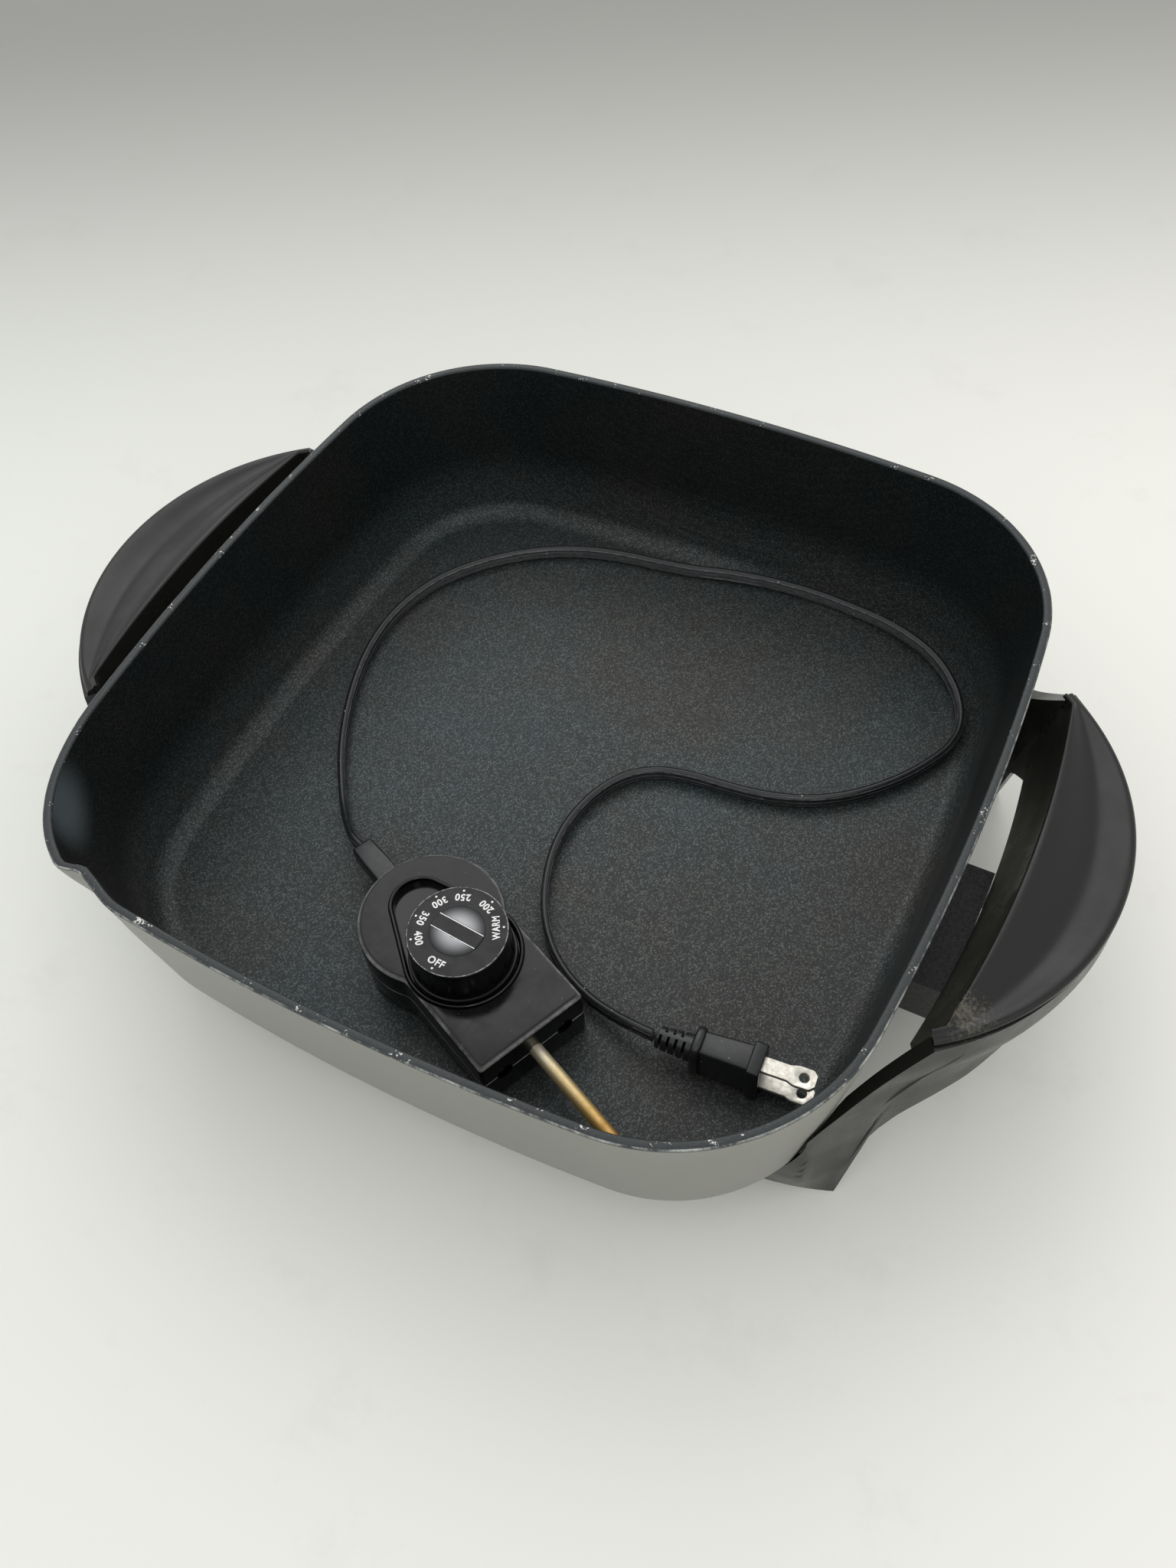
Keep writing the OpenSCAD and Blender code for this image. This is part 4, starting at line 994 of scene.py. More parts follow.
housing_base = housing("control_base_shell",
                       foot_edge + [(0, SPLIT - 0.35), (0.35, SPLIT - 0.05)],
                       [*nose_bores, relief_slot, *screw_wells])
for thing, node in ((housing_top, "control_top"),
                    (housing_base, "control_base")):
    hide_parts(node)
    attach(thing, "heat_control")

# %% [markdown]
# A raised bead runs round the dial's well in the shape of a drop. It is
# highly polished in the mould. Its section is a half round on a short wall,
# and it stands on the housing and hangs a little over its sides.

# %% Bead round the dial
bead_section = [(0, 22.6), (0, 24.6)]
bead_section += [(1 - cosd(a), 24.6 + 1.7 * sind(a))
                 for a in range(15, 181, 15)]
bead_section += [(2, 22.6)]
bead_rows = [[laid(x, y, z) for x, y in drop(21.2 - g, 11.5 - g)]
             for g, z in bead_section + bead_section[:1]]
bead = piece("dial_bead", [(*skin(bead_rows, ring=True), 0)],
             [polished_black_shaded], smooth_angle=50)
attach(bead, "heat_control")

# %% [markdown]
# ## The dial
#
# The dial is a moulded knob with sixteen fine flutes, a thin edge grey in
# spots and printed figures. The flutes end above a plain skirt. Each flute is
# a small round groove, so the knob's radius is worked out for each direction.
# Fingers have rubbed the plastic, so its gloss varies in soft patches.

# %% Dial plastic
dial_black, tree, shader, place = new_material("dial_plastic_hot_stamped")
rub = add(tree, "ShaderNodeTexNoise", {
    "Vector": place, "Scale": per_mm(5), "Detail": 4.0})
rub_gloss = add(tree, "ShaderNodeMapRange", {
    "Value": rub, "From Min": 0.35, "From Max": 0.7, "To Min": 0.2,
    "To Max": 0.4})
rub_bump = add(tree, "ShaderNodeBump", {
    "Height": rub, "Distance": 0.05 * MM, "Strength": 0.4}, out="Normal")
wire(tree, shader, Base_Color=hex_colour("0a0a0b"), Roughness=rub_gloss,
     Normal=rub_bump, IOR=1.4)

# %% [markdown]
# The figures are white foil, pressed on with a hot die. It lies unevenly, so
# two whites are mixed by a fine noise, about as coarse as the real patches.

# %% White foil
print_white, tree, shader, place = new_material("hot_stamped_white_foil")
patch = add(tree, "ShaderNodeTexNoise", {
    "Vector": place, "Scale": per_mm(0.8), "Detail": 3.0})
patch_tone = add(tree, "ShaderNodeMapRange", {
    "Value": patch, "From Min": 0.3, "From Max": 0.6})
print_colour = add(tree, "ShaderNodeMix", {
    0: patch_tone, 6: hex_colour("cdcdca"), 7: hex_colour("f3f3f0")}, out=2,
    data_type="RGBA")
wire(tree, shader, Base_Color=print_colour, Roughness=0.5)

# %% [markdown]
# The knob's top edge is drawn grey in spots. Only that one row of faces has
# this finish.

# %% The knob's top edge, grey in spots
edge_grey_in_spots, tree, shader, place = new_material("plastic_edge_grey_in_spots")
edge_spot_noise = add(tree, "ShaderNodeTexNoise", {
    "Vector": place, "Scale": per_mm(1.3), "Detail": 4.0, "Roughness": 0.7})
edge_spot_mask = add(tree, "ShaderNodeMapRange", {
    "Value": edge_spot_noise, "From Min": 0.4, "From Max": 0.6})
edge_spot_colour = add(tree, "ShaderNodeMix", {
    0: edge_spot_mask, 6: hex_colour("3a3a39"), 7: hex_colour("a9a9a5")}, out=2,
    data_type="RGBA")
wire(tree, shader, Base_Color=edge_spot_colour, Roughness=0.45)

# %% [markdown]
# The disc is spun or turned, so its tool marks are rings too fine to see.
# What shows is their glint, which runs outwards like spokes. A noise read by
# direction alone draws it. The colour is painted darker towards the edge, down
# to black: painted shade on the domed disc.

# %% Spun disc
spun_metal, tree, shader, place = new_material("spun_aluminium_disc")
centre = laid(-DIAL_X, 0, 41)
shifted = add(tree, "ShaderNodeVectorMath", {
    0: place, 1: tuple(c * MM for c in centre)}, operation="SUBTRACT")
apart = add(tree, "ShaderNodeSeparateXYZ", {"Vector": shifted}, out=None)
around = add(tree, "ShaderNodeMath", {
    0: apart.outputs["Y"], 1: apart.outputs["X"]}, operation="ARCTAN2")
spoke_place = add(tree, "ShaderNodeCombineXYZ", {"X": around})
spokes = add(tree, "ShaderNodeTexNoise", {
    "Vector": spoke_place, "Scale": 55.0, "Detail": 3.0, "Roughness": 0.7})
spoke_tone = add(tree, "ShaderNodeMapRange", {
    "Value": spokes, "From Min": 0.3, "From Max": 0.7})
spoke_colour = add(tree, "ShaderNodeMix", {
    0: spoke_tone, 6: hex_colour("87888a"), 7: hex_colour("bcbdbf")}, out=2,
    data_type="RGBA")
spoke_gloss = add(tree, "ShaderNodeMapRange", {
    "Value": spokes, "From Min": 0.3, "From Max": 0.7, "To Min": 0.38,
    "To Max": 0.5})
flat_place = add(tree, "ShaderNodeCombineXYZ", {
    "X": apart.outputs["X"], "Y": apart.outputs["Y"]})
from_axis = add(tree, "ShaderNodeVectorMath", {0: flat_place},
                out="Value", operation="LENGTH")
# Painted shade: from 2.6 mm out, the colour darkens towards black at the
# disc's edge.
edge_painted_shade = add(tree, "ShaderNodeMapRange", {
    "Value": from_axis, "From Min": 2.6 * MM, "From Max": 9.9 * MM,
    "To Min": 0.0, "To Max": 0.93}, interpolation_type="SMOOTHSTEP")
disc_colour = add(tree, "ShaderNodeMix", {
    0: edge_painted_shade, 6: spoke_colour, 7: hex_colour("161617")}, out=2,
    data_type="RGBA")
wire(tree, shader, Base_Color=disc_colour, Metallic=1.0,
     Roughness=spoke_gloss)

# %% [markdown]
# The knob is a stack of rings, from the foot of its skirt to the recess of
# the disc. Each ring knows how deep the flutes are at its height. They fade
# in above the skirt and out at the top edge, as a tapered cutter leaves them.

# %% Knob
FLUTES, FLUTE_AT, FLUTE_R, FLUTE_HALF = 16, 18.35, 1.5, 4.6
GRIP_FOOT, GRIP_HEAD, TOP_ROUND = 17.9, 17.46, 0.6
knob_profile = [(17.8, 23.4), (18.3, 23.42), (18.75, 23.6), (18.85, 24.0),
                (18.85, 26.0), (18.6, 26.35), (18.05, 26.45)]
flute_span = (-11.25, -9, -7, -5.4, -4.66, -4.2, -3.5, -2.6, -1.4, 0,
              1.4, 2.6, 3.5, 4.2, 4.66, 5.4, 7, 9)


def knob_row(r, z, depth):
    """One level of the knob, with its sixteen flutes cut this deep."""
    row = []
    for k in range(FLUTES):
        for d in flute_span:
            cut = r
            if abs(d) < FLUTE_HALF and depth > 0:
                groove = math.sqrt(FLUTE_R ** 2 - (FLUTE_AT * sind(d)) ** 2)
                cut = FLUTE_AT - (FLUTE_AT * (1 - cosd(d)) + groove) * depth
            a = k * 360 / FLUTES + d
            rr = min(r, cut)
            row.append(laid(-DIAL_X + rr * cosd(a), rr * sind(a), z))
    return row


knob_rows = [knob_row(0, 23.4, 0)] + [knob_row(r, z, 0)
                                        for r, z in knob_profile]
knob_rows += [knob_row(17.95, 26.8, 0), knob_row(17.94, 27.2, 0.3),
              knob_row(17.93, 27.9, 0.55), knob_row(GRIP_FOOT, 28.8, 0.7)]
knob_rows += [knob_row(mix(GRIP_FOOT, GRIP_HEAD, t), mix(28.8, 40.2, t),
                       mix(0.7, 0.5, t)) for t in (0.33, 0.66, 1)]
knob_rows += [knob_row(GRIP_HEAD - TOP_ROUND * (1 - cosd(a)),
                       40.3 + TOP_ROUND * sind(a), mix(0.5, 0.4, a / 90))
              for a in (30, 60, 90)]
edge_start = len(knob_rows) - 2
knob_rows += [knob_row(16.4, 40.86, 0.1), knob_row(16.1, 40.86, 0),
              knob_row(11, 40.84, 0), knob_row(9.6, 40.84, 0),
              knob_row(9.55, 40.5, 0), knob_row(0, 40.5, 0)]
knob_points, knob_faces = skin(knob_rows, ring=True)
across = len(knob_rows[0])
knob_slots = [1 if n // across == edge_start else 0
              for n in range(len(knob_faces))]
knob = piece("dial_knob_moulding", [(knob_points, knob_faces, knob_slots)],
             [dial_black, edge_grey_in_spots], smooth_angle=32)
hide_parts("dial_knob")
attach(knob, "dial")

# %% [markdown]
# The middle of the dial is a thin disc, spun and then pressed into two low
# domes with a flat dark band between them. Its colour is painted darker to
# black at the edge, as painted shade. The figures and the dot beside each are
# stamped with white foil.
# They are real, thin shapes that stand a hair above the plastic.

# %% Dial disc and figures
DIAL = laid(-DIAL_X, 0, 0)
BAND_A, DISC_R, BAND_HALF, DOME_H = CTL_TURN + 19, 9.5, 2.6, 0.45


def on_dial(r, a, z):
    """A point over the dial, with a from the control's forward direction."""
    turn = CTL_TURN + a
    return (DIAL[0] + r * cosd(turn), DIAL[1] + r * sind(turn), DIAL[2] + z)


disc_rows = []
for j in range(25):
    r = DISC_R * j / 24
    row = []
    for i in range(96):
        a = 360 * i / 96
        v = abs(r * sind(a - BAND_A + CTL_TURN)) - BAND_HALF
        dome = DOME_H * (1 - (r / DISC_R) ** 2) * clamp(v / 0.5 + 0.2, 0, 1)
        row.append(on_dial(r, a, 40.9 + dome))
    disc_rows.append(row)
disc_rows.append([on_dial(DISC_R, 360 * i / 96, 40.45) for i in range(96)])
disc = piece("dial_disc", [(*skin(disc_rows, ring=True), 0)], [spun_metal],
             smooth_angle=25)
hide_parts("dial_insert")
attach(disc, "dial")


def on_band(u, v, z):
    """A point over the dial, u along its band and v across it."""
    return (DIAL[0] + u * cosd(BAND_A) - v * sind(BAND_A),
            DIAL[1] + u * sind(BAND_A) + v * cosd(BAND_A), DIAL[2] + z)


BAND_STRIPS = ((-BAND_HALF, BAND_HALF, 41.16, 9.1, 0),
               (-2.85, -2.55, 41.22, 8.9, 1), (2.55, 2.85, 41.22, 8.9, 1))
band = piece("dial_band", [
    (*skin([[on_band(u, v, z) for v in (low, high)] for u in (-w, w)]), slot)
    for low, high, z, w, slot in BAND_STRIPS], [dial_black, print_white])
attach(band, "dial")

# %% [markdown]
# The figures follow the dial's edge and are read from outside. WARM is the
# longest, so its letters are set narrower. Each outline is turned into a thin
# mesh, and all of them, with their dots, become one piece that turns with
# the knob. The band holds no words.

# %% Figures
FIGURE_SIZE, FIGURE_R, DOT_R, DOT_AT, FIGURE_Z = 3.6, 13.1, 0.4, 15.6, 40.9
NARROW, NARROW_LONG = 0.92, 0.76
FIGURES = {"OFF": -67.6, "400": -118.8, "350": -152.6, "300": 171.4,
           "250": 135.7, "200": 94.9, "WARM": 54.8}
figures = []
for text, a in FIGURES.items():
    words = bpy.data.curves.new("figure", "FONT")
    words.body = text
    words.align_x, words.align_y = "CENTER", "CENTER"
    words.size = FIGURE_SIZE * MM
    words.offset = 0.1 * MM
    words.space_character = 1.12
    words.extrude = 0.02 * MM
    word = bpy.data.objects.new("figure_" + text, words)
    bpy.context.scene.collection.objects.link(word)
    applied_mesh = bpy.data.meshes.new_from_object(word)
    bpy.data.objects.remove(word)
    flip = Matrix.Rotation(math.radians(CTL_TURN + a + 90), 4, "Z")
    at = Vector(on_dial(FIGURE_R, a, FIGURE_Z)) * MM
    narrow = Matrix.Diagonal(
        (NARROW_LONG if text == "WARM" else NARROW, 1, 1, 1))
    applied_mesh.transform(Matrix.Translation(at) @ flip @ narrow)
    figures.append(applied_mesh)
bm = bmesh.new()
for mesh in figures:
    bm.from_mesh(mesh)
    bpy.data.meshes.remove(mesh)
for a in FIGURES.values():
    ring = [bm.verts.new(Vector(on_dial(DOT_AT, a, 40.93)) * MM
                         + Vector((u, v, 0)) * MM)
            for u, v in circle(DOT_R, 24)]
    bm.faces.new(ring)
stamped_mesh = bpy.data.meshes.new("dial_figures")
bm.to_mesh(stamped_mesh)
bm.free()
stamped_mesh.materials.clear()
stamped_mesh.materials.append(print_white)
stamped = bpy.data.objects.new("dial_figures", stamped_mesh)
bpy.context.scene.collection.objects.link(stamped)
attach(stamped, "dial")
print("figures", len(stamped_mesh.polygons), "faces")

# %% [markdown]
# ## Cord and plug
#
# The cord is a flat vinyl cord with three ridges on each face. It stands on
# its narrow side and lies in a loose S on the cooking floor. Its section is
# swept along the smoothed route by the same node tree as the ribs.

# %% Vinyl
vinyl, tree, shader, place = new_material("extruded_black_vinyl")
scuff = add(tree, "ShaderNodeTexNoise", {
    "Vector": place, "Scale": per_mm(3), "Detail": 5.0, "Roughness": 0.7})
scuff_tone = add(tree, "ShaderNodeMapRange", {
    "Value": scuff, "From Min": 0.35, "From Max": 0.75})
lint = add(tree, "ShaderNodeTexVoronoi", {
    "Vector": place, "Scale": per_mm(6)}, out="Distance")
lint_mask = add(tree, "ShaderNodeMapRange", {
    "Value": lint, "From Min": 0.075, "From Max": 0.04, "To Min": 0.0,
    "To Max": 0.8})
vinyl_tone = add(tree, "ShaderNodeMix", {
    0: scuff_tone, 6: hex_colour("131415"), 7: hex_colour("202123")}, out=2,
    data_type="RGBA")
vinyl_colour = add(tree, "ShaderNodeMix", {
    0: lint_mask, 6: vinyl_tone, 7: hex_colour("a09d95")}, out=2,
    data_type="RGBA")
vinyl_gloss = add(tree, "ShaderNodeMapRange", {
    "Value": scuff, "From Min": 0.35, "From Max": 0.7, "To Min": 0.26,
    "To Max": 0.42})
vinyl_bump = add(tree, "ShaderNodeBump", {
    "Height": scuff, "Distance": 0.04 * MM, "Strength": 0.5}, out="Normal")
wire(tree, shader, Base_Color=vinyl_colour, Roughness=vinyl_gloss,
     Normal=vinyl_bump, IOR=1.54)

# %% [markdown]
# The tops of the ridges are painted pale: a painted highlight that draws each
# ridge as a thin line. The tone changes along the ridge by a fine noise.

# %% Painted highlight on the cord's ridges
ridge_highlight_vinyl, tree, shader, place = new_material("vinyl_painted_ridge_highlight")
ridge_highlight_noise = add(tree, "ShaderNodeTexNoise", {
    "Vector": place, "Scale": per_mm(2.5), "Detail": 4.0, "Roughness": 0.7})
ridge_highlight_tone = add(tree, "ShaderNodeMapRange", {
    "Value": ridge_highlight_noise, "From Min": 0.35, "From Max": 0.7})
ridge_highlight_colour = add(tree, "ShaderNodeMix", {
    0: ridge_highlight_tone, 6: hex_colour("3a3b3c"), 7: hex_colour("77787a")},
    out=2, data_type="RGBA")
wire(tree, shader, Base_Color=ridge_highlight_colour, Roughness=0.36, IOR=1.54)

# %% [markdown]
# The route is a list of points, from the housing to the plug, with a smooth
# line through them. Extrusion gives a real cord the same section everywhere,
# so one section is run along the line. The faces nearest to a ridge's top then
# get the painted highlight.

# %% The cord
CORD_HALF_H, RIDGE_STEP, RIDGE_HALF = 3.1, 2.07, 0.36
CORD_ROUTE = [
    (-55.9, -64.5, 45), (-62.3, -61.7, 44), (-69.2, -56.1, 40.5),
    (-77, -48, 37.2), (-84, -39.3, 36), (-92.5, -26.8, 36),
    (-100, -13, 36), (-106.3, 1.7, 36), (-111.3, 17.5, 36), (-114, 33, 36),
    (-114, 48, 36), (-111, 62.5, 36), (-105.5, 75.5, 36), (-97, 87.3, 36),
    (-86.5, 97.8, 36), (-75, 106.3, 36), (-63, 112.7, 36),
    (-50, 117.3, 36), (-36, 120.2, 36), (-22, 122, 36), (-8, 124.2, 36.2),
    (7, 127.6, 36.6), (22, 130, 37), (36, 131, 37.3), (50, 131, 37.5),
    (64, 129.7, 37.7), (78, 127.7, 37.9), (92, 123.6, 38),
    (104, 117.4, 37.8), (113.6, 109, 37.2), (120.6, 99, 36.4),
    (124, 88, 36), (123, 77, 36), (118.3, 66.3, 36), (111.8, 56, 36),
    (103.8, 46.6, 36), (94.5, 38.3, 36), (82.5, 31.2, 36), (68, 26.4, 36),
    (53, 24.2, 36), (38, 22.8, 36), (25.3, 19.4, 36), (15, 11.8, 36),
    (8.2, -0.5, 36), (5, -16, 36), (6, -31, 36), (10.4, -45.2, 36),
    (16.8, -57.4, 36), (25, -67.2, 36), (35.2, -74.7, 36.4),
    (47, -80, 37.6), (58.5, -83, 39.8), (67, -84.4, 41.9),
    (73.6, -84.9, 42.7)]


def smoothed(knots, parts=4):
    """A rounder line through the knots, with parts pieces between two."""
    pts = [Vector(p) for p in knots]
    pts = [2 * pts[0] - pts[1], *pts, 2 * pts[-1] - pts[-2]]
    line = []
    for a, b, c, d in zip(pts, pts[1:], pts[2:], pts[3:]):
        for t in (i / parts for i in range(parts)):
            line.append(b + 0.5 * t * (c - a) + t * t * (
                a - 2.5 * b + 2 * c - 0.5 * d)
                + t ** 3 * 0.5 * (d - a + 3 * (b - c)))
    return [tuple(p) for p in line] + [tuple(pts[-2])]


def cord_half(v):
    """Half the cord's thickness at this height over its middle."""
    ridge = 0.98 + 0.57 * abs(cosd(v / RIDGE_STEP * 180)) ** 1.2
    return ridge * max(0, 1 - abs(v / CORD_HALF_H) ** 5) ** 0.5


heights = [CORD_HALF_H * sind(mix(-90, 90, i / 36)) for i in range(37)]
cord_section = [(cord_half(v), v) for v in heights]
cord_section += [(-cord_half(v), v) for v in heights[-2:0:-1]]
cord_line = smoothed(CORD_ROUTE)
cord = sweep("supply_cord", cord_line, cord_section, vinyl, smooth_angle=60)
centres = np.array([tuple(f.center) for f in cord.data.polygons]) / MM
route = np.array(cord_line)
near = ((centres[:, None, :2] - route[:, :2]) ** 2).sum(2).argmin(1)
above = centres[:, 2] - route[near, 2]
# Faces near a ridge's top get the painted highlight.
on_ridge = np.abs(above - RIDGE_STEP
                  * np.round(above / RIDGE_STEP)) < RIDGE_HALF
cord.data.materials.append(ridge_highlight_vinyl)
for polygon, highlighted_one in zip(cord.data.polygons, on_ridge):
    polygon.material_index = int(highlighted_one)
print("rubbed faces on the ridges", int(on_ridge.sum()))
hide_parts("cord")
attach(cord, "heat_control")

# %% [markdown]
# The plug is moulded on the cord in one shot of vinyl: a ribbed strain
# relief, a thick flange, a body with a mould line along its ridge, and a
# hood round the roots of the blades. The blades are stamped from brass
# strip, drilled and nickel plated. Handling has left them dull and marked.

# %% Nickel plate
nickel, tree, shader, place = new_material("nickel_plated_brass_blade")
mark = add(tree, "ShaderNodeTexNoise", {
    "Vector": place, "Scale": per_mm(2.2), "Detail": 5.0, "Roughness": 0.7})
mark_tone = add(tree, "ShaderNodeMapRange", {
    "Value": mark, "From Min": 0.35, "From Max": 0.65})
brassy = add(tree, "ShaderNodeMapRange", {
    "Value": mark, "From Min": 0.68, "From Max": 0.74, "To Min": 0.0,
    "To Max": 0.7})
nickel_tone = add(tree, "ShaderNodeMix", {
    0: mark_tone, 6: hex_colour("c9c3b4"), 7: hex_colour("efece2")}, out=2,
    data_type="RGBA")
nickel_colour = add(tree, "ShaderNodeMix", {
    0: brassy, 6: nickel_tone, 7: hex_colour("b98f4e")}, out=2,
    data_type="RGBA")
nickel_gloss = add(tree, "ShaderNodeMapRange", {
    "Value": mark, "From Min": 0.3, "From Max": 0.7, "To Min": 0.42,
    "To Max": 0.28})
wire(tree, shader, Base_Color=nickel_colour, Metallic=0.85,
     Roughness=nickel_gloss)

# %% [markdown]
# The plug is a chain of closed shells along its own axis. Slits are cut from
# both sides in turn, like those that let a real plug's tail bend like a
# spring. The blades are plates of one thickness with a tapered nose, and one
# drill cuts through both.

# %% Plug
PLUG_AT, PLUG_TURN = (112, -81.3, 42.7), 5
BLADE_SIDE, BLADE_HALF_T, BLADE_ROUND, HOLE_X, HOLE_R = (
    6.35, 0.75, 0.3, 13.8, 1.6)
SLIT_FROM, SLIT_STEP, SLIT_HALF = -27.0, 2.8, 0.5


def plugged(x, y, z):
    """A point of the plug, whose blades point along its own x."""
    return (PLUG_AT[0] + x * cosd(PLUG_TURN) - y * sind(PLUG_TURN),
            PLUG_AT[1] + x * sind(PLUG_TURN) + y * cosd(PLUG_TURN),
            PLUG_AT[2] + z)


def rounded(height, width, r, steps=5, ridge=0.0):
    """A rounded rectangle as (across, up), with a ridge top and bottom."""
    points = []
    for k, (sx, sy) in enumerate(((1, 1), (-1, 1), (-1, -1), (1, -1))):
        points += arc(sx * (width / 2 - r), sy * (height / 2 - r), r,
                      k * 90, k * 90 + 90, steps)
        if k % 2 == 0:
            points.append((0, sy * (height / 2 + ridge)))
    return points


def along_plug(stations):
    """A closed shell from (x, height, width, corner radius, ridge)."""
    return skin([[plugged(x, y, z) for y, z in rounded(h, w, r, ridge=g)]
                 for x, h, w, r, g in stations], ring=True, caps=True)


plug_parts = [
    along_plug([(-21.5, 15.6, 8.8, 1.5, 0), (-20.6, 16.2, 9.0, 1.5, 0.25),
                (-5, 18.3, 10.2, 1.6, 0.25), (-4, 18.3, 10.2, 1.6, 0)]),
    along_plug([(-24.2, 16.4, 10.4, 4.2, 0), (-23.9, 18.0, 12.0, 4.6, 0),
                (-23.2, 18.9, 12.9, 4.8, 0), (-21.9, 18.9, 12.9, 4.8, 0),
                (-21.1, 18.1, 12.1, 4.6, 0), (-20.8, 16.6, 10.6, 4.2, 0)]),
    along_plug([(-4.5, 19.2, 11.8, 1.2, 0), (-4.1, 20.0, 12.6, 1.4, 0),
                (-0.4, 20.0, 12.6, 1.4, 0), (0, 19.4, 12.0, 1.2, 0),
                (0, 17.4, 9.6, 0.8, 0), (-1.9, 16.2, 8.2, 0.8, 0)]),
    skin([[plugged(x, u, v) for u, v in circle(r, 15)]
          for x, r in ((-37.2, 3.0), (-37.0, 3.6), (-36.4, 3.95),
                       (-23.5, 5.0))], ring=True, caps=True)]
plug = piece("plug_moulding", [(*part, 0) for part in plug_parts], [vinyl],
             smooth_angle=50)
slits = [(SLIT_FROM - SLIT_STEP * i - (SLIT_STEP / 2 if s > 0 else 0), s)
         for i in range(4) for s in (1, -1)]
for x, s in slits:
    low, high = (0.6, 8.5) if s > 0 else (-8.5, -0.6)
    corners = ((-SLIT_HALF, low), (SLIT_HALF, low), (SLIT_HALF, high),
               (-SLIT_HALF, high))
    slit = skin([[plugged(x + u, v, z) for u, v in corners]
                 for z in (-8, 8)], ring=True, caps=True)
    carve(plug, *slit, vinyl, clean_self=True)
mark_sharp(plug.data, 38)
blade_shells = []
edge = [(-5.8, 2.9), (8.6, 2.9), (10.4, 3.55), (11.2, 3.75), (15.9, 3.75),
        (16.6, 3.5), (17.9, 2.1), (18.0, 1.9)]
rim_line = edge + [(x, -y) for x, y in reversed(edge)]
hole = [(HOLE_X + u, v) for u, v in circle(HOLE_R, 12)]
for s in (1, -1):
    z0 = BLADE_SIDE * s
    blade_shells.append((*skin([[plugged(x, y, z) for x, y in rim_line]
                                for z in (z0 - BLADE_HALF_T,
                                          z0 + BLADE_HALF_T)],
                               ring=True, caps=True), 0))
blades = piece("plug_blade_pair", blade_shells, [nickel], smooth_angle=30)
drill = skin([[plugged(x, y, z) for x, y in hole] for z in (-9, 9)],
             ring=True, caps=True)
carve(blades, *drill, nickel)
soften(blades, BLADE_ROUND)
applied(blades)
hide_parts("plug_body")
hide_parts("plug_blades")
for thing in (plug, blades):
    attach(thing, "heat_control")
print("plug", len(plug.data.polygons), "faces")

# %% [markdown]
# Where the cord enters the housing, a block of vinyl is moulded on it. The
# block is stiffer than the cord, so the cord doesn't kink at the housing.

# %% Strain relief at the housing
sleeve_rows = []
for x, w, low, high in ((-83, 6.2, 8.1, 16.5), (-84.9, 6.2, 8.1, 16.5),
                        (-84.9, 9.0, 8, 16.6), (-95, 8.9, 8, 16.6),
                        (-105.4, 8.4, 8.2, 16.4), (-106.1, 7.9, 8.5, 16.1),
                        (-106.4, 7.0, 8.9, 15.7)):
    middle = (low + high) / 2
    sleeve_rows.append([laid(x, u, middle + v) for u, v in
                        rounded(high - low, w, 1.1)])
sleeve = piece("cord_sleeve", [(*skin(sleeve_rows, ring=True, caps=True), 0)],
               [vinyl], smooth_angle=50)
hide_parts("strain_relief")
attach(sleeve, "heat_control")

# %% [markdown]
# ## Metal, ceramic and small parts
#
# The parts that the CAD draws fully keep their own meshes. Each gets the
# finish of its real material. Most are one recipe with other numbers: two
# tones of the metal mixed by a fine grain, which also moves the gloss.

# %% Finishes from one recipe
RECIPES = {
    # nickel-plated steel, tumbled
    "nickel_plated_steel": ("a8a7a2", "cfcec9", 1.0, 0.24, 0.38, 1.5),
    # steel tube browned by heat and cooking fat
    "heat_stained_steel_sheath": ("4a4038", "7d7468", 0.9, 0.4, 0.6, 4.0),
    # drawn alloy rod, plain
    "drawn_alloy_rod": ("8c8b87", "a9a8a3", 1.0, 0.3, 0.4, 0.8),
    # rolled bronze strip
    "rolled_spring_bronze": ("a8753c", "c99a5c", 1.0, 0.25, 0.4, 1.2),
    # steatite, pressed and fired without a glaze
    "unglazed_steatite": ("cfc8b8", "e3ddcf", 0.0, 0.6, 0.75, 0.9),
    # glass-fibre sleeve, braided
    "braided_glass_sleeve": ("c4c1b4", "dedbcf", 0.0, 0.75, 0.9, 0.5),
    # phenolic resin, glossy but rough from a worn mould
    "rough_moulded_phenolic": ("0b0c0c", "1c1e1d", 0.0, 0.2, 0.34, 1.6),
}
finish = {}
for name, (dark, light, metal, low, high, size) in RECIPES.items():
    finish[name], tree, shader, place = new_material(name)
    grain = add(tree, "ShaderNodeTexNoise", {
        "Vector": place, "Scale": per_mm(size), "Detail": 4.0,
        "Roughness": 0.65})
    tone = add(tree, "ShaderNodeMapRange", {
        "Value": grain, "From Min": 0.35, "From Max": 0.68})
    colour = add(tree, "ShaderNodeMix", {
        0: tone, 6: hex_colour(dark), 7: hex_colour(light)}, out=2,
        data_type="RGBA")
    rough = add(tree, "ShaderNodeMapRange", {
        "Value": grain, "From Min": 0.3, "From Max": 0.7, "To Min": high,
        "To Max": low})
    depth = 0.3 if "phenolic" in name else 0.03
    bump = add(tree, "ShaderNodeBump", {
        "Height": grain, "Distance": depth * MM, "Strength": 0.7},
        out="Normal")
    wire(tree, shader, Base_Color=colour, Metallic=metal, Roughness=rough,
         Normal=bump)
print("finishes", len(finish))

# %% [markdown]
# The probe is a polished stainless tube. Heat has tinted it: silver at the
# housing, straw further along and brown near the tip, where the tint is
# patchy. The tint follows the distance along the probe.

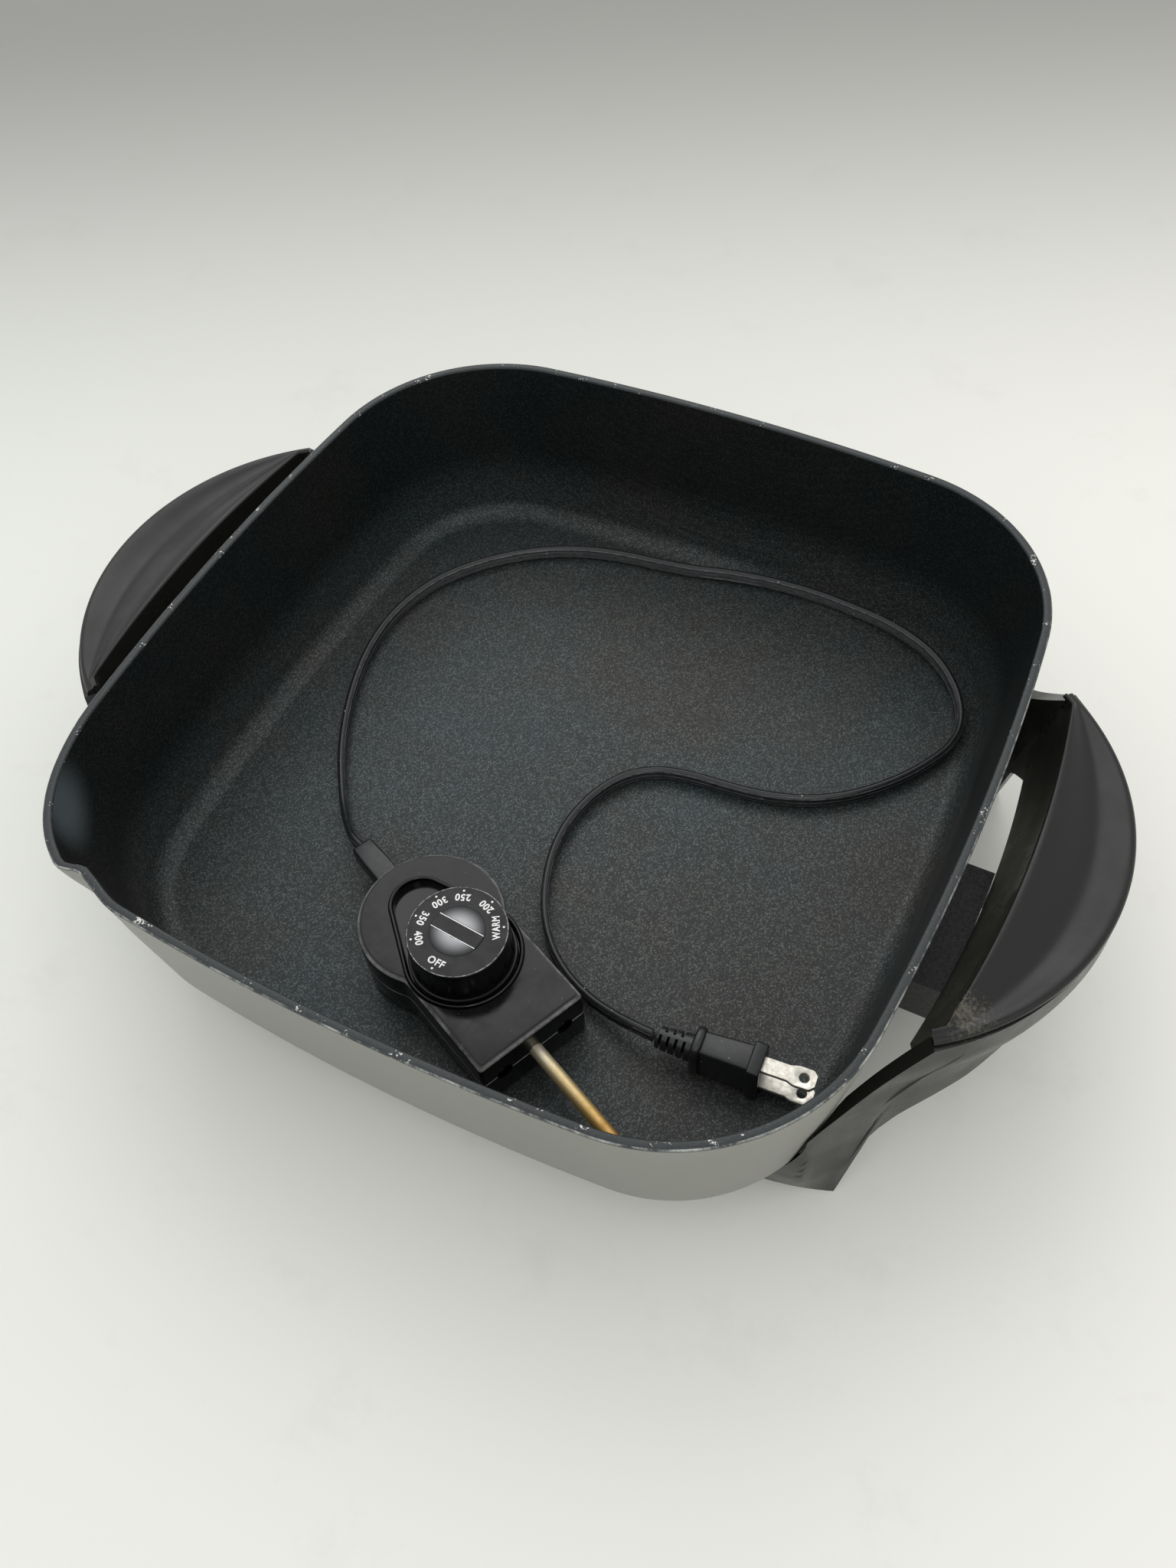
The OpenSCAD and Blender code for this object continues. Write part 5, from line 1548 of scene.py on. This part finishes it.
# %% Heat-tinted probe
probe_steel, tree, shader, place = new_material("heat_tinted_stainless_tube")
from_nose = add(tree, "ShaderNodeVectorMath", {
    0: place, 1: tuple(c * MM for c in laid(0, 0, SPLIT))},
    operation="SUBTRACT")
along = add(tree, "ShaderNodeVectorMath", {
    0: from_nose, 1: (cosd(CTL_TURN), sind(CTL_TURN), 0)}, out="Value",
    operation="DOT_PRODUCT")
blotch = add(tree, "ShaderNodeTexNoise", {
    "Vector": place, "Scale": per_mm(2.6), "Detail": 4.0, "Roughness": 0.7})
wobble = add(tree, "ShaderNodeMath", {
    0: blotch, 1: 24 * MM, 2: along}, operation="MULTIPLY_ADD")
heat = add(tree, "ShaderNodeMapRange", {
    "Value": wobble, "From Min": 8 * MM, "From Max": 66 * MM})
tint = add(tree, "ShaderNodeValToRGB", {"Fac": heat}, out="Color")
ramp_node = tint.node.color_ramp
for spot, text in ((0.0, "e0dac9"), (0.25, "d6c498"), (0.6, "cba764"),
                   (0.85, "b07b3e"), (1.0, "8e5b2c")):
    key = (ramp_node.elements[0] if spot == 0 else ramp_node.elements[-1]
           if spot == 1 else ramp_node.elements.new(spot))
    key.color = hex_colour(text)
tube_gloss = add(tree, "ShaderNodeMapRange", {
    "Value": blotch, "From Min": 0.3, "From Max": 0.7, "To Min": 0.36,
    "To Max": 0.5})
wire(tree, shader, Base_Color=tint, Metallic=0.72, Roughness=tube_gloss)

# %% [markdown]
# The CAD's own pieces keep their meshes and get their finish. The probe also
# has a small live bevel. It rounds only the few sharp edges at which its faces
# share corners, since a loaded mesh has its other corners split.

# %% Finishes on the CAD's own meshes
DRESSED = {
    "heating_element": finish["heat_stained_steel_sheath"],
    "terminal_pins": finish["nickel_plated_steel"],
    "terminal_insulators": finish["unglazed_steatite"],
    "terminal_guard": finish["rough_moulded_phenolic"],
    "guard_screws": finish["nickel_plated_steel"],
    "handle_screws": finish["nickel_plated_steel"],
    "handle_washers": finish["nickel_plated_steel"],
    "base_screws": finish["nickel_plated_steel"],
    "probe_tube": probe_steel,
    "probe_collar": finish["nickel_plated_steel"],
    "sensing_rod": finish["drawn_alloy_rod"],
    "contact_carrier": finish["unglazed_steatite"],
    "moving_contact": finish["rolled_spring_bronze"],
    "fixed_contact": finish["rolled_spring_bronze"],
    "cam_follower": finish["unglazed_steatite"],
    "socket_terminals": finish["rolled_spring_bronze"],
    "lead_wires": finish["braided_glass_sleeve"],
    "dial_shaft": finish["nickel_plated_steel"],
    "dial_cam": finish["unglazed_steatite"],
    "shaft_clip": finish["nickel_plated_steel"],
}
for name, material in DRESSED.items():
    mesh = nodes[name].data
    for k in range(max(1, len(mesh.materials))):
        if len(mesh.materials):
            mesh.materials[k] = material
        else:
            mesh.materials.append(material)
PROBE_ROUND = 0.3
soften(nodes["probe_tube"], PROBE_ROUND)
print("dressed", len(DRESSED))

# %% [markdown]
# ## Table and light
#
# The skillet stands on a plain pale table. Its colour is painted darker
# towards the back, as painted shade where the light falls off, and a little
# lighter towards the right, as painted light. It carries faint marks. A large
# soft lamp high at the back left gives the sheen on every upward face. A
# weaker one fills from the right, and a small one draws thin highlights on the
# edges that face the front. The room lights the scene more from above than
# from the sides, but looks evenly pale to the camera and in reflections.

# %% Table
table_finish, tree, shader, place = new_material("matt_painted_board")
turned_place = add(tree, "ShaderNodeMapping", {
    "Vector": place, "Rotation": (0, 0, math.radians(-27.2))})
split = add(tree, "ShaderNodeSeparateXYZ", {"Vector": turned_place}, out=None)
# Painted shade: the board darkens towards the back, to 94938f, where the light
# falls off.
far_painted_shade = add(tree, "ShaderNodeMapRange", {
    "Value": split.outputs["Y"], "From Min": 0.1, "From Max": 0.78},
    interpolation_type="SMOOTHSTEP")
# Painted light: the board is a little lighter towards the right.
side = add(tree, "ShaderNodeMapRange", {
    "Value": split.outputs["X"], "From Min": -0.3, "From Max": 0.35})
near_tone = add(tree, "ShaderNodeMix", {
    0: side, 6: hex_colour("e6e7e0"), 7: hex_colour("efeee6")}, out=2,
    data_type="RGBA")
table_tone_and_shade = add(tree, "ShaderNodeMix", {
    0: far_painted_shade, 6: near_tone, 7: hex_colour("94938f")}, out=2, data_type="RGBA")
smudge = add(tree, "ShaderNodeTexNoise", {
    "Vector": place, "Scale": per_mm(60), "Detail": 7.0, "Roughness": 0.7})
smudge_mask = add(tree, "ShaderNodeMapRange", {
    "Value": smudge, "From Min": 0.56, "From Max": 0.8, "To Min": 0.0,
    "To Max": 0.16})
table_colour = add(tree, "ShaderNodeMix", {
    0: smudge_mask, 6: table_tone_and_shade, 7: hex_colour("a9a59b")}, out=2,
    data_type="RGBA")
wire(tree, shader, Base_Color=table_colour, Roughness=0.85, IOR=1.3)
table_mesh = bpy.data.meshes.new("table_top")
FAR = 9
table_mesh.from_pydata([(-FAR, -FAR, 0), (FAR, -FAR, 0), (FAR, FAR, 0),
                        (-FAR, FAR, 0)], [], [(0, 1, 2, 3)])
table_mesh.materials.append(table_finish)
table = bpy.data.objects.new("table_top", table_mesh)
bpy.context.scene.collection.objects.link(table)

# %% [markdown]
# Each lamp is a square that faces the pan. The two wide ones give soft
# shadows, and the small one gives sharp glints. The camera's own rays, and
# those that reflect or refract, see an even pale room and not the gradient.

# %% Lamps and room
scene = bpy.context.scene
scene.view_settings.view_transform = "Standard"
world = bpy.data.worlds.new("room")
scene.world = world
world.use_nodes = True
room_tree = world.node_tree
sky = room_tree.nodes["Background"]
sky.inputs["Color"].default_value = (0.98, 0.99, 1, 1)
look = add(room_tree, "ShaderNodeTexCoord", out="Generated")
height = add(room_tree, "ShaderNodeSeparateXYZ", {"Vector": look}, out="Z")
level = add(room_tree, "ShaderNodeMapRange", {
    "Value": height, "From Min": 0.05, "From Max": 0.85, "To Min": 0.25,
    "To Max": 1.12})
ray = add(room_tree, "ShaderNodeLightPath", out=None)
shown = ray.outputs["Is Camera Ray"]
for label in ("Is Glossy Ray", "Is Transmission Ray"):
    shown = add(room_tree, "ShaderNodeMath", {
        0: shown, 1: ray.outputs[label]}, operation="MAXIMUM")
SEEN_LEVEL = 0.82
strength = add(room_tree, "ShaderNodeMix", {
    0: shown, 2: level, 3: SEEN_LEVEL}, data_type="FLOAT")
room_tree.links.new(strength, sky.inputs["Strength"])
LAMPS = (("key", (-0.75, 1.15, 1.75), 1.6, 10),
         ("fill", (1.6, -0.6, 1.6), 1.2, 2),
         ("glint", (0.62, -1.0, 1.75), 0.3, 2))
for name, at, size, power in LAMPS:
    lamp = bpy.data.lights.new(name, "AREA")
    lamp.size = size
    lamp.energy = power
    holder = bpy.data.objects.new(name, lamp)
    holder.location = at
    aim = Vector((0, 0, 0.05)) - Vector(at)
    holder.rotation_euler = aim.to_track_quat("-Z", "Y").to_euler()
    scene.collection.objects.link(holder)
    print("lamp", name, power, "W")
